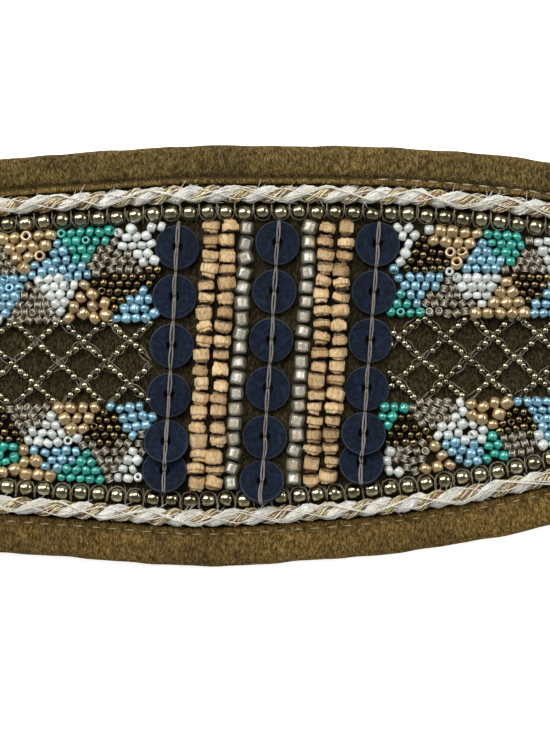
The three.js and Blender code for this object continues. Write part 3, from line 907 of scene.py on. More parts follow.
class BELT_OT_make_stage(bpy.types.Operator):
    """Makes the camera, the pale floor and the soft studio light"""

    bl_idname = "belt.make_stage"
    bl_label = "Stage"

    def execute(self, context):
        view_middle = (0.00066, -0.0023)
        height = 0.505
        bpy.ops.object.camera_add(location=(*view_middle, height), rotation=(0, 0, 0))
        camera = context.object
        camera.name = "photo_camera"
        camera.data.lens = 112
        camera.data.sensor_width = 36
        camera.data.clip_start = 0.01
        context.scene.camera = camera
        context.scene.view_settings.view_transform = "Standard"

        select_only()
        bpy.ops.mesh.primitive_plane_add(size=6, location=(0, 0, -0.0002))
        floor = context.object
        floor.name = "floor"
        finish = Finish("pale_floor", roughness=0.9)
        grain = finish.noise(3, 2)
        finish.link(finish.ramp(grain, (0.0, (0.93, 0.93, 0.93)), (1.0, (0.96, 0.96, 0.96))),
                    "Base Color")
        finish.set(Emission_Color=(1, 1, 1, 1), Emission_Strength=0.8)
        floor.data.materials.append(finish.material)

        self.lamp("key_light", (-0.22, 0.5, 0.8), 0.75, 0.6, 6.6)
        self.lamp("left_light", (-0.62, 0.3, 0.42), 0.4, 0.3, 1.8)
        self.lamp("right_light", (0.6, 0.2, 0.5), 0.4, 0.3, 1.6)
        self.dome(context.scene)
        return {"FINISHED"}

    def lamp(self, name, place, wide, tall, power):
        """A soft rectangular light that faces the belt's middle"""
        bpy.ops.object.light_add(type="AREA", location=place)
        lamp = bpy.context.object
        lamp.name = name
        lamp.data.shape = "RECTANGLE"
        lamp.data.size = wide
        lamp.data.size_y = tall
        lamp.data.energy = power
        lamp.rotation_euler = lamp.location.copy().to_track_quat("Z", "Y").to_euler()

    def dome(self, scene):
        """A pale studio dome, darker overhead where the camera would stand"""
        world = scene.world or bpy.data.worlds.new("studio")
        scene.world = world
        world.use_nodes = True
        nodes, links = world.node_tree.nodes, world.node_tree.links
        place = nodes.new("ShaderNodeTexCoord")
        parts = nodes.new("ShaderNodeSeparateXYZ")
        ramp = nodes.new("ShaderNodeValToRGB")
        stops = ((0.0, 0.36), (0.3, 0.3), (0.65, 0.2), (1.0, 0.12))
        while len(ramp.color_ramp.elements) < len(stops):
            ramp.color_ramp.elements.new(0.5)
        for element, (position, level) in zip(ramp.color_ramp.elements, stops):
            element.position = position
            element.color = (level, level, level * 0.98, 1)
        links.new(place.outputs["Generated"], parts.inputs[0])
        links.new(parts.outputs["Z"], ramp.inputs["Fac"])
        links.new(ramp.outputs["Color"], nodes["Background"].inputs["Color"])
        nodes["Background"].inputs["Strength"].default_value = 1.0


# Suede

def slab_shape(x, low, high, bottom, top, rows, sag=0.0, seed=0):
    """A closed sheet between two lines, with a softly uneven top"""
    share = np.linspace(0, 1, rows)
    across = low[:, None] * (1 - share) + high[:, None] * share
    along = np.repeat(x[:, None], rows, axis=1)
    uneven = waver(along.ravel() * 1.3 + across.ravel(), seed, (23, 11, 37), (1, 0.5, 1))
    uneven += waver(across.ravel() * 1.7 - along.ravel() * 0.4, seed + 1, (17, 9), (0.8, 0.4))
    lift = sag * uneven.reshape(along.shape)
    upper = np.stack([along, across, top + lift], axis=-1)
    under = np.stack([along, across, bottom + lift * 0.5], axis=-1)
    points = np.concatenate([upper.reshape(-1, 3), under.reshape(-1, 3)])
    count = len(x)
    i, j = np.meshgrid(np.arange(count - 1), np.arange(rows - 1), indexing="ij")
    here = (i * rows + j).ravel()
    top_faces = np.column_stack([here, here + rows, here + rows + 1, here + 1])
    under_faces = top_faces[:, ::-1] + count * rows
    rim = np.concatenate([
        np.arange(count) * rows,
        (count - 1) * rows + np.arange(1, rows),
        (np.arange(count - 1)[::-1]) * rows + rows - 1,
        np.arange(1, rows - 1)[::-1],
    ])
    below = rim + count * rows
    side_faces = np.column_stack([rim, below, np.roll(below, -1), np.roll(rim, -1)])
    return points, [np.concatenate([top_faces, under_faces, side_faces])]


def tip_places(inset, start):
    """Places along the belt from a start to its round tip, with how far each is closed"""
    middle = BELT_LENGTH / 2 - STRAP_WIDTH / 2
    turn = np.linspace(0, math.pi / 2, 16)
    straight = np.arange(start, middle, SHEET_STEP)
    x = np.concatenate([straight, middle + (STRAP_WIDTH / 2 - inset) * np.sin(turn)])
    close = np.concatenate([np.ones(len(straight)), np.cos(turn)])
    return x, close


def cut_slots(piece):
    """Cuts the hook's slots out of the right strap"""
    radius = SLOT_WIDTH * MM / 2
    flat = SLOT_ACROSS * MM / 2 - radius
    for middle in SLOT_MIDDLES:
        select_only()
        bpy.ops.mesh.primitive_cylinder_add(
            vertices=24, radius=radius, depth=0.02, location=(middle * MM, 0, 0)
        )
        cutter = bpy.context.object
        bpy.ops.object.transform_apply(location=True, rotation=True, scale=True)
        for vertex in cutter.data.vertices:
            vertex.co.y += math.copysign(flat, vertex.co.y + 1e-9)
        select_only(piece)
        modifier = piece.modifiers.new("slot", "BOOLEAN")
        modifier.object = cutter
        modifier.operation = "DIFFERENCE"
        bpy.ops.object.modifier_apply(modifier=modifier.name)
        bpy.data.objects.remove(cutter)


class BELT_OT_make_suede(bpy.types.Operator):
    """Makes the front panel and the two straps of suede"""

    bl_idname = "belt.make_suede"
    bl_label = "Suede body"

    def execute(self, context):
        # The ground's dark colour is painted shade under the beadwork
        ground = suede_finish("suede_ground", colours().ground)
        inset = EDGING_THICKNESS + LAYER_GAP
        end = PANEL_LENGTH / 2 - SEAM_GAP / 2
        stretches = (
            ("strap_left", SHEET_START, -PANEL_LENGTH / 2 - SEAM_GAP / 2),
            ("panel", -end, end),
        )
        for name, start, stop in stretches:
            x = np.linspace(start, stop, int((stop - start) / SHEET_STEP))
            self.sheet(name, x, np.ones(len(x)), inset, ground)
        x, close = tip_places(inset, PANEL_LENGTH / 2 + SEAM_GAP / 2)
        tip = self.sheet("strap_right", x, np.maximum(close, 0.01), inset, ground)
        cut_slots(tip)
        return {"FINISHED"}

    def sheet(self, name, x, close, inset, material):
        low = inset_line(-1, inset, x, close)
        high = inset_line(1, inset, x, close)
        rows = 26 if name == "panel" else 16
        points, faces = slab_shape(x, low, high, BODY_BOTTOM, BODY_TOP, rows, sag=0.04, seed=7)
        gathered = Gathered()
        gathered.add(points, faces)
        piece = gathered.write(f"belt_{name}", [material])
        return settle(piece, "suede", f"suede_{name}")


# The folded strip's section: inset from the belt's edge, height and tone of the nap. The tone holds
# painted shade in the stitched groove, under the fold and on its outer side, a little painted light
# on the roll's top, and the cut lip's lighter suede
EDGING_SECTION = (
    (8.6, 0.15, 0.5), (8.45, 0.0, 0.5), (7, 0, 0.5), (5.2, 0, 0.5), (3.4, 0, 0.5),
    (2.2, 0.05, 0.5), (1.3, 0.2, 0.5), (0.6, 0.55, 0.5), (0.2, 1.1, 0.45), (0.0, 1.9, 0.45),
    (0.0, 3.1, 0.5), (0.2, 3.9, 0.55), (0.6, 4.42, 0.55), (1.3, 4.78, 0.5), (2.2, 4.95, 0.5),
    (3.2, 5.0, 0.5), (4.4, 4.99, 0.5), (5.6, 4.94, 0.5), (6.2, 4.84, 0.44), (6.6, 4.6, 0.22),
    (6.95, 4.36, 0.06), (7.3, 4.5, 0.3), (7.7, 4.74, 0.72), (8.25, 4.66, 0.84), (8.6, 4.2, 0.66),
    (8.55, 3.8, 0.3), (8.4, 3.72, 0.3), (6, 3.75, 0.3), (3, 3.75, 0.3), (1.25, 3.7, 0.3),
    (1.2, 1.3, 0.3), (3, 1.25, 0.3), (6, 1.25, 0.3), (8.4, 1.3, 0.3), (8.6, 1.1, 0.4),
)


class BELT_OT_make_edging(bpy.types.Operator):
    """Makes the suede strips that fold round the belt's long edges"""

    bl_idname = "belt.make_edging"
    bl_label = "Edging"

    def execute(self, context):
        # Painted shade on the upper edging and painted light on the lower one: the nap darker or
        # lighter by how it faces the light
        painted_nap_light = {"upper": (0.86, 0.95, 1.05), "lower": (1.09, 1.09, 1.05)}
        groove = {"upper": 1.0, "lower": 0.3}
        half = PANEL_LENGTH / 2
        for side_name, side in SIDES.items():
            base = tuple(a * b for a, b in zip(colours().suede, painted_nap_light[side_name]))
            suede = suede_finish(f"suede_edging_{side_name}", base)
            for name, start, stop in (
                ("strap_left", EDGING_START, -half - SEAM_GAP / 2),
                ("panel", -half + SEAM_GAP / 2, half - SEAM_GAP / 2),
                ("strap_right", half + SEAM_GAP / 2, None),
            ):
                if stop is None:
                    x, close = tip_places(0, start)
                else:
                    x = np.linspace(start, stop, int((stop - start) / EDGING_STEP))
                    close = np.ones(len(x))
                points, faces, tones = self.strip(side, x, close, groove[side_name])
                gathered = Gathered()
                gathered.add(points, faces, tone=tones)
                piece = gathered.write(f"rolled_edge_{name}_{side_name}", [suede])
                settle(piece, "suede", f"edging_{name}_{side_name}")
        return {"FINISHED"}

    def strip(self, side, x, close, groove):
        """The folded section swept along one edge, with soft unevenness. The groove is how far
        its stitched groove and lip are pressed in, and how strongly the groove's painted shade and
        the lip's lighter suede show."""
        y = inset_line(side, 0, x, close, LAYER_GAP)
        inward = np.column_stack([-np.sqrt(1 - close**2), -side * close])
        section = np.array(EDGING_SECTION)
        pressed = (section[:, 0] > 6.5) & (section[:, 1] > 4)
        level = 4.75
        section[pressed, 1] = level + (section[pressed, 1] - level) * max(groove, 0.6)
        section[pressed, 2] = 0.5 + (section[pressed, 2] - 0.5) * groove
        # Painted shade: the tone falls along a stretch of the upper edging
        away = (x - PAINTED_SHADE_MIDDLE) / PAINTED_SHADE_REACH
        painted_shade = PAINTED_SHADE_DEPTH * np.exp(-(away**2)) * (side > 0)
        tones = np.clip(section[None, :, 2] - painted_shade[:, None], 0, 1).ravel()
        edge_wander = waver(x, 31 + side, (13, 29, 7), (0.08, 0.1, 0.04))
        rings = []
        for k, (inset, height, _) in enumerate(section):
            loose = min(1.0, max(0.0, (6 - inset) / 4)) if height > 1 else 0.3
            puff = waver(x, 50 + k // 3 + side * 9, (9, 17, 31), (0.05, 0.06, 0.06)) * loose
            out = inset - edge_wander * loose
            rise = np.clip(height + puff, 0.0, None)
            if height <= 0.2:
                rise = np.full(len(x), height)
            rings.append(np.column_stack([
                x + inward[:, 0] * out, y + inward[:, 1] * out, rise
            ]))
        points = np.stack(rings, axis=1).reshape(-1, 3)
        count, steps = len(section), len(x)
        i, j = np.meshgrid(np.arange(steps - 1), np.arange(count), indexing="ij")
        here = (i * count + j).ravel()
        following = (i * count + (j + 1) % count).ravel()
        quads = np.column_stack([here, here + count, following + count, following])
        first = np.arange(count)[None, :]
        last = (steps - 1) * count + np.arange(count)[::-1][None, :]
        groups = [quads, first, last]
        if side > 0:
            groups = [group[:, ::-1] for group in groups]
        return points, groups, tones


# Height and face of the stitches in the edging's groove and on its underside
STITCH_FACES = ((4.5, 1), (0.02, -1))


class BELT_OT_make_topstitch(bpy.types.Operator):
    """Makes the topstitching along the edging and across the strap seams"""

    bl_idname = "belt.make_topstitch"
    bl_label = "Topstitch"

    def execute(self, context):
        pale = thread_finish("topstitch_thread", colours().topstitch, 0.55)
        # A dark thread in the suede's colour, for the upper stitches before a place
        worn = thread_finish("topstitch_thread_dark", shade(colours().suede, 0.55), 0.95, 0.02)
        pitch = sizes().stitch_pitch / MM
        inset = sizes().stitch_inset / MM
        stitch = bead_shape(6, 4, 0.001, 1.0)
        rng = np.random.default_rng(11)
        for side_name, side in SIDES.items():
            gathered = Gathered()
            x, close = tip_places(inset, STITCHING_START)
            y = inset_line(side, inset, x, close)
            line = even_steps(np.column_stack([x, y]), pitch)
            ways = line_directions(line)
            for place, way in zip(line[:-1], ways):
                # Stitches on the upper side before that place take the dark thread
                finish = 1 if side > 0 and place[0] < DARK_STITCHES_END else 0
                for height, face in STITCH_FACES:
                    self.stitch(gathered, stitch, place, way, height, rng, face, finish)
            piece = gathered.write(f"topstitch_{side_name}", [pale, worn])
            settle(piece, "suede")
        gathered = Gathered()
        for seam in (-PANEL_LENGTH / 2, PANEL_LENGTH / 2):
            for apart in (-3, 3):
                reach = float(half_height(seam)) - EDGING_WIDTH - 1.5
                for y in np.arange(-reach, reach, pitch):
                    place = (seam + apart, y + float(middle_line(seam)))
                    self.stitch(gathered, stitch, place, (0, 1), BODY_TOP + 0.12, rng, 1, 0)
        settle(gathered.write("seam_stitches", [pale]), "suede")
        return {"FINISHED"}

    def stitch(self, gathered, shape, place, way, height, rng, face, finish):
        points, faces = shape
        size = np.array([
            sizes().stitch_length / MM * rng.uniform(0.88, 1.08),
            sizes().stitch_diameter / MM,
            sizes().stitch_diameter / MM * 0.8,
        ])
        heading = math.atan2(way[1], way[0]) + rng.normal(0, 0.05)
        turn = turn_matrix(heading)
        lift = height + rng.normal(0, 0.01) if face > 0 else height + 0.12
        gathered.add(placed(points, size, turn, (place[0], place[1], lift)), faces, finish)


# Trim cords

def strand_middle(line, offset, phase):
    """The middle line of one strand of the twisted cord, with the normals, turns and lengths
    along the cord that it is made from"""
    step = np.linalg.norm(line[1] - line[0])
    run = np.arange(len(line)) * step
    angle = -TURN * run / (sizes().cord_turn / MM) + phase
    angle += waver(run, 5, (47, 31), (0.25, 0.2))
    normal = line_normals(line_directions(line))
    flat = line + normal * (offset * 1.08 * np.cos(angle))[:, None]
    height = BEAD_BOTTOM + CORD_HEIGHT + offset * np.sin(angle)
    return np.column_stack([flat, height]), normal, angle, run


def filament_lines(line, offset, phase, count, twist, seed):
    """Fine filaments that lie round the middle of one strand"""
    middle, normal, angle, run = strand_middle(line, offset, phase)
    rng = np.random.default_rng(seed)
    lines = []
    for k in range(count):
        own = angle * twist + TURN * k / count + waver(run, seed + k, (11, 19), (0.22, 0.2))
        loose = waver(run, seed + 40 + k, (6, 14, 2.7), (0.05, 0.06, 0.08))
        reach = STRAND_RADIUS * (1 + loose)
        around = np.zeros_like(middle)
        around[:, :2] = normal * (reach * np.cos(own))[:, None]
        around[:, 2] = reach * np.sin(own) * rng.uniform(0.9, 1.0)
        filament = middle + around
        filament[:, 2] = np.maximum(filament[:, 2], BEAD_BOTTOM - 0.1)
        lines.append(filament)
    return np.array(lines)


class BELT_OT_make_trim_cords(bpy.types.Operator):
    """Makes the two twisted trim cords, sewn down inside the edging"""

    bl_idname = "belt.make_trim_cords"
    bl_label = "Trim cords"

    def execute(self, context):
        white = fleece_finish(colours().white_strand)
        gold = metal_thread_finish("gold_filament", colours().gold)
        copper = metal_thread_finish("copper_filament", colours().copper)
        umber = metal_thread_finish("umber_filament", colours().umber)
        for side_name, side in SIDES.items():
            line = field_line(side, CORD_INSET, CORD_STEP)
            fuzzy = Gathered()
            lines = filament_lines(line, WHITE_OFFSET, 0.0, WHITE_FILAMENTS, 0.4, 100)
            for k, filament in enumerate(lines):
                fuzzy.add(*sweep(filament[None], 0.11 + 0.04 * (k % 3), 3),
                          tone=(k * 7 % WHITE_FILAMENTS) / WHITE_FILAMENTS)
            core = strand_middle(line, WHITE_OFFSET, 0.0)[0]
            # The core's low tone is painted shade under the filaments
            fuzzy.add(*sweep(core[None], CORE_RADIUS, 8), tone=0.1)
            self.stray_fibres(fuzzy, lines, 200 + side)
            piece = fuzzy.write(f"cord_white_strand_{side_name}", [white])
            settle(piece, "trim_cord", f"trim_cord_{side_name}")

            shiny = Gathered()
            lines = filament_lines(
                line, METALLIC_OFFSET, math.pi, METALLIC_FILAMENTS, 0.6, 300
            )
            for k, filament in enumerate(lines):
                finish = FILAMENT_ORDER[k % len(FILAMENT_ORDER)]
                shiny.add(*sweep(filament[None], 0.145, 3), finish=finish)
            core = strand_middle(line, METALLIC_OFFSET, math.pi)[0]
            # The core's dark umber finish is painted shade between the metallic filaments
            shiny.add(*sweep(core[None], CORE_RADIUS, 8), finish=3)
            piece = shiny.write(
                f"cord_metallic_strand_{side_name}", [gold, copper, white, umber]
            )
            settle(piece, "trim_cord", f"trim_cord_{side_name}")
        return {"FINISHED"}

    def stray_fibres(self, gathered, lines, seed):
        """Fine fibres that stand out of the fuzzy strand's upper side"""
        rng = np.random.default_rng(seed)
        upper_side = BEAD_BOTTOM + CORD_HEIGHT - 0.05
        for _ in range(STRAY_FIBRES):
            filament = lines[rng.integers(len(lines))]
            at = int(rng.integers(4, len(filament) - 8))
            if filament[at, 2] < upper_side:
                continue
            way = filament[at + 2] - filament[at]
            way /= np.linalg.norm(way)
            way[:2] += rng.normal(0, 0.5, 2)
            way[2] = -0.1
            reach = rng.uniform(0.7, 2.1)
            share = np.linspace(0, 1, 4)[:, None]
            curve = filament[at] + way * reach * share + (0, 0, 0.3) * np.sin(math.pi * share)
            gathered.add(*sweep(curve[None], [0.07, 0.065, 0.055, 0.03], 3), tone=1.0)


class BELT_OT_make_couching(bpy.types.Operator):
    """Makes the long white stitches that hold the trim cords down"""

    bl_idname = "belt.make_couching"
    bl_label = "Couching"

    def execute(self, context):
        white = thread_finish("couching_thread", colours().couching, 0.5, 0.3)
        radius = sizes().couching_diameter / MM / 2
        wave = sizes().couching_wave / MM
        for side_name, side in SIDES.items():
            line = field_line(side, CORD_INSET, 0.8)
            normal = line_normals(line_directions(line))
            run = np.arange(len(line)) * np.linalg.norm(line[1] - line[0])
            gathered = Gathered()
            for apart, phase, reach in COUCHING_THREADS:
                zigzag = 2 / math.pi * np.arcsin(np.sin(TURN * (run / wave + phase)) * 0.98)
                across = zigzag * reach + apart
                across += waver(run, 77 + int(apart * 50), (37, 61, 9), (0.2, 0.2, 0.05))
                over_cord = np.sqrt(np.maximum(2.2**2 - across**2, 0.5))
                height = BEAD_BOTTOM + CORD_HEIGHT + over_cord
                flat = line + normal * across[:, None]
                gathered.add(*sweep(np.column_stack([flat, height])[None], radius, 4))
            settle(gathered.write(f"couching_{side_name}", [white]), "trim_cord")
        return {"FINISHED"}


# Bronze bead rows

class BELT_OT_make_bronze_rows(bpy.types.Operator):
    """Makes the rows of bronze beads inside the cords, with a fine thread round each"""

    bl_idname = "belt.make_bronze_rows"
    bl_label = "Bronze rows"

    def execute(self, context):
        bronze = bronze_finish("bronze_coat", colours().bronze)
        fine = thread_finish("fine_thread", colours().fine_thread, 0.5, 0.5)
        diameter = sizes().bronze_diameter / MM
        shape = bead_shape(14, 9, 0.22, 0.92)
        height = BEAD_BOTTOM + diameter / 2
        rng = np.random.default_rng(21)
        for side_name, side in SIDES.items():
            pitch = sizes().bronze_pitch / MM
            line = even_steps(field_line(side, BRONZE_INSET, 0.5), pitch)
            middles = (line[1:] + line[:-1]) / 2
            beads = Gathered()
            loops = Gathered()
            for place, way in zip(middles, line_directions(middles)):
                heading = math.atan2(way[1], way[0]) + rng.normal(0, 0.12)
                normal = np.array([-way[1], way[0]])
                size = diameter * rng.uniform(0.93, 1.03, 3)
                sway = normal * rng.normal(0, 0.12)
                spot = (*(place + sway), height + rng.normal(0, 0.05))
                turn = turn_matrix(heading, rng.normal(0, 0.1), rng.uniform(0, 0.6))
                beads.add(placed(shape[0], size, turn, spot), shape[1], tone=rng.uniform())
                self.loop(loops, place, way, normal, height, pitch, side, rng)
            piece = beads.write(f"bronze_row_{side_name}", [bronze])
            settle(piece, "bronze_beads", f"bronze_bead_row_{side_name}")
            settle(loops.write(f"bronze_row_thread_{side_name}", [fine]), "bronze_beads")
        return {"FINISHED"}

    def loop(self, gathered, place, way, normal, height, pitch, side, rng):
        """Fine threads: two that come over the row in each gap, and one round the bead"""
        outward = normal * side
        gap = place + way * pitch / 2
        thin = sizes().fine_thread / MM / 2
        for lean in (-1, 1):
            start = gap + outward * rng.uniform(1.5, 2.1) + way * rng.normal(0, 0.12)
            over = gap + way * rng.normal(0, 0.1)
            stop = gap - outward * rng.uniform(1.5, 2.0) + way * lean * rng.uniform(0.5, 0.9)
            curve = curve_through(
                [(*start, height + 0.2), (*over, height + rng.uniform(0.1, 0.6)),
                 (*stop, BEAD_BOTTOM + 0.3)], 9,
            )
            gathered.add(*thread(curve, thin, 4))
        reach = rng.uniform(1.75, 1.95)
        turns = np.linspace(-0.5, math.pi + 0.5, 12) + rng.normal(0, 0.15)
        flat = (
            place + way * np.cos(turns)[:, None] * reach
            - outward * np.sin(turns)[:, None] * (reach - 0.05)
        )
        lift = height + rng.uniform(-0.5, 0.1) + 0.25 * np.cos(2 * turns)
        gathered.add(*thread(np.column_stack([flat, lift]), thin, 4))


def curve_through(points, count):
    """A smooth curve of count points that starts, passes and ends at three or more places"""
    points = np.asarray(points, float)
    pads = np.concatenate([[2 * points[0] - points[1]], points, [2 * points[-1] - points[-2]]])
    places = np.linspace(0, len(points) - 1 - 1e-9, count)
    made = []
    for place in places:
        i = int(place)
        t = place - i
        p0, p1, p2, p3 = pads[i:i + 4]
        made.append(0.5 * (
            2 * p1 + (p2 - p0) * t + (2 * p0 - 5 * p1 + 4 * p2 - p3) * t**2
            + (3 * p1 - p0 - 3 * p2 + p3) * t**3
        ))
    return np.array(made)


# Discs and their thread

def disc_places():
    """Each disc's node with its middle and its tilt about X, read from its box"""
    found = {}
    for column in ("left", "middle", "right"):
        for i in range(1, 7):
            node = f"disc_{column}_{i}"
            low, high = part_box(node)
            middle = (low + high) / 2 / MM
            rise = (high.z - low.z) / MM
            tilt = 0.0
            while (DISC_DIAMETER * math.sin(tilt) + DISC_THICKNESS * math.cos(tilt)) < rise - 0.01:
                tilt += 0.002
            found[node] = (np.array(middle), tilt)
    return found


def disc_tops(places, x, y):
    """Height of the upper face of the highest disc at a place, or of the suede"""
    height = BODY_TOP
    for middle, tilt in places.values():
        past = np.hypot(x - middle[0], (y - middle[1]) / math.cos(tilt))
        if past < DISC_DIAMETER / 2:
            rise = -(y - middle[1]) * math.tan(tilt) + DISC_THICKNESS / 2 / math.cos(tilt)
            height = max(height, middle[2] + rise)
    return height


class BELT_OT_make_discs(bpy.types.Operator):
    """Makes the drilled coconut discs of the three columns"""

    bl_idname = "belt.make_discs"
    bl_label = "Discs"

    def execute(self, context):
        navy = navy_finish(colours().navy)
        points, faces = self.model_disc()
        rng = np.random.default_rng(3)
        for node, (middle, tilt) in disc_places().items():
            spin = rng.uniform(0, TURN)
            about_z = turn_matrix(spin)
            lean = -tilt + rng.normal(0, 0.02)
            about_x = turn_matrix(0, 0, lean)
            thick = rng.uniform(0.94, 1.0)
            shape = (points * (1, 1, thick)) @ about_z.T @ about_x.T + middle
            gathered = Gathered()
            reach = np.hypot(points[:, 0], points[:, 1])
            turned = 0.35 + 0.35 * np.sin(reach * 5.7)
            # Tone 1 marks a band near the rim for a painted highlight
            worn = np.abs(reach - DISC_DIAMETER / 2 + 0.2) < 0.19
            gathered.add(shape, faces, tone=np.where(worn, 1.0, turned))
            piece = gathered.write(node.replace("disc", "coconut_disc"), [navy])
            select_only(piece)
            bpy.ops.object.shade_smooth_by_angle(angle=math.radians(40))
            settle(piece, "navy_discs", node)
        return {"FINISHED"}

    def model_disc(self):
        """One disc with a drilled hole, turned edges and a slightly dished face"""
        select_only()
        bpy.ops.mesh.primitive_cylinder_add(
            vertices=48, radius=DISC_DIAMETER / 2, depth=DISC_THICKNESS, end_fill_type="NGON"
        )
        rings = (0.7, 0.55, 0.5, 0.55, 0.5, 0.5, 0.55)
        hole = DISC_DIAMETER / 2 - sum(rings)
        bpy.ops.object.mode_set(mode="EDIT")
        pick("FACE", lambda face: abs(face.normal.z) > 0.9)
        for ring in rings:
            bpy.ops.mesh.inset(thickness=ring, depth=0)
        bpy.ops.mesh.delete(type="FACE")
        pick("EDGE", lambda edge: edge.is_boundary)
        bpy.ops.mesh.bridge_edge_loops()
        flat = DISC_THICKNESS / 2
        pick("EDGE", lambda edge: all(
            abs(abs(v.co.z) - flat) < 1e-4
            and (v.co.xy.length > DISC_DIAMETER / 2 - 0.02 or v.co.xy.length < hole + 0.07)
            for v in edge.verts
        ) and abs(edge.verts[0].co.xy.length - edge.verts[1].co.xy.length) < 1e-3
             and edge.verts[0].co.z * edge.verts[1].co.z > 0)
        bpy.ops.mesh.bevel(offset=0.4, segments=3, affect="EDGES")
        bpy.ops.mesh.select_all(action="SELECT")
        bpy.ops.mesh.normals_make_consistent(inside=False)
        bpy.ops.object.mode_set(mode="OBJECT")
        points, faces = take_shape()
        reach = np.hypot(points[:, 0], points[:, 1])
        dish = 0.1 * np.clip(1 - reach / 3.2, 0, 1)
        points[:, 2] -= np.sign(points[:, 2]) * dish
        return points, faces


class BELT_OT_make_chains(bpy.types.Operator):
    """Makes the chain of double thread that holds each column of discs"""

    bl_idname = "belt.make_chains"
    bl_label = "Chain stitches"

    def execute(self, context):
        material = thread_finish("chain_thread", colours().chain, 0.4, 0.5)
        places = disc_places()
        rng = np.random.default_rng(9)
        for column, offset in (("left", -DISC_OFFSET), ("middle", 0.0), ("right", DISC_OFFSET)):
            middles = [places[f"disc_{column}_{i}"][0] for i in range(1, 7)]
            top = column_line(offset)[0]
            knots = [np.array([*top, 0.0])]
            for here, below in zip(middles, middles[1:] + [None]):
                knots.append(here)
                if below is not None:
                    knots.append((here + below) / 2)
            last = middles[-1] - (0, DISC_DIAMETER / 2 + 0.4, 0)
            knots.append(last)
            gathered = Gathered()
            for k, (start, stop) in enumerate(zip(knots, knots[1:])):
                hole = k % 2
                self.link(gathered, places, start, stop, hole, rng)
            settle(gathered.write(f"chain_{column}", [material]), "navy_discs")
        return {"FINISHED"}

    def link(self, gathered, places, start, stop, starts_in_hole, rng):
        """One link: two threads that leave a hole together, part, and meet at the disc's rim"""
        share = np.linspace(0, 1, 17)
        radius = sizes().chain_thread / MM / 2
        wander = rng.normal(0, 0.15)
        part = share if starts_in_hole else 1 - share
        flat = start[:2] * (1 - share[:, None]) + stop[:2] * share[:, None]
        tops = np.array([disc_tops(places, x, y) for x, y in flat])
        rest = BEAD_BOTTOM + DISC_THICKNESS * 0.6
        tops = np.maximum(tops, np.where((part > 0.1), rest, 0))
        tops = np.maximum(tops, np.convolve(np.pad(tops, 1, mode="edge"), np.ones(3) / 3, "valid"))
        for side in (-1, 1):
            width = 0.13 + rng.uniform(0.05, 0.26) * np.sin(math.pi * part**0.8)
            line = np.column_stack([flat, tops + radius + 0.12 * np.sin(math.pi * share)])
            line[:, 0] += side * width + wander * np.sin(math.pi * share)
            line[0 if starts_in_hole else -1, 2] -= 0.8
            line[1 if starts_in_hole else -2, 2] -= 0.12
            gathered.add(*thread(line, radius * rng.uniform(0.9, 1.15), 6))


# Wooden beads

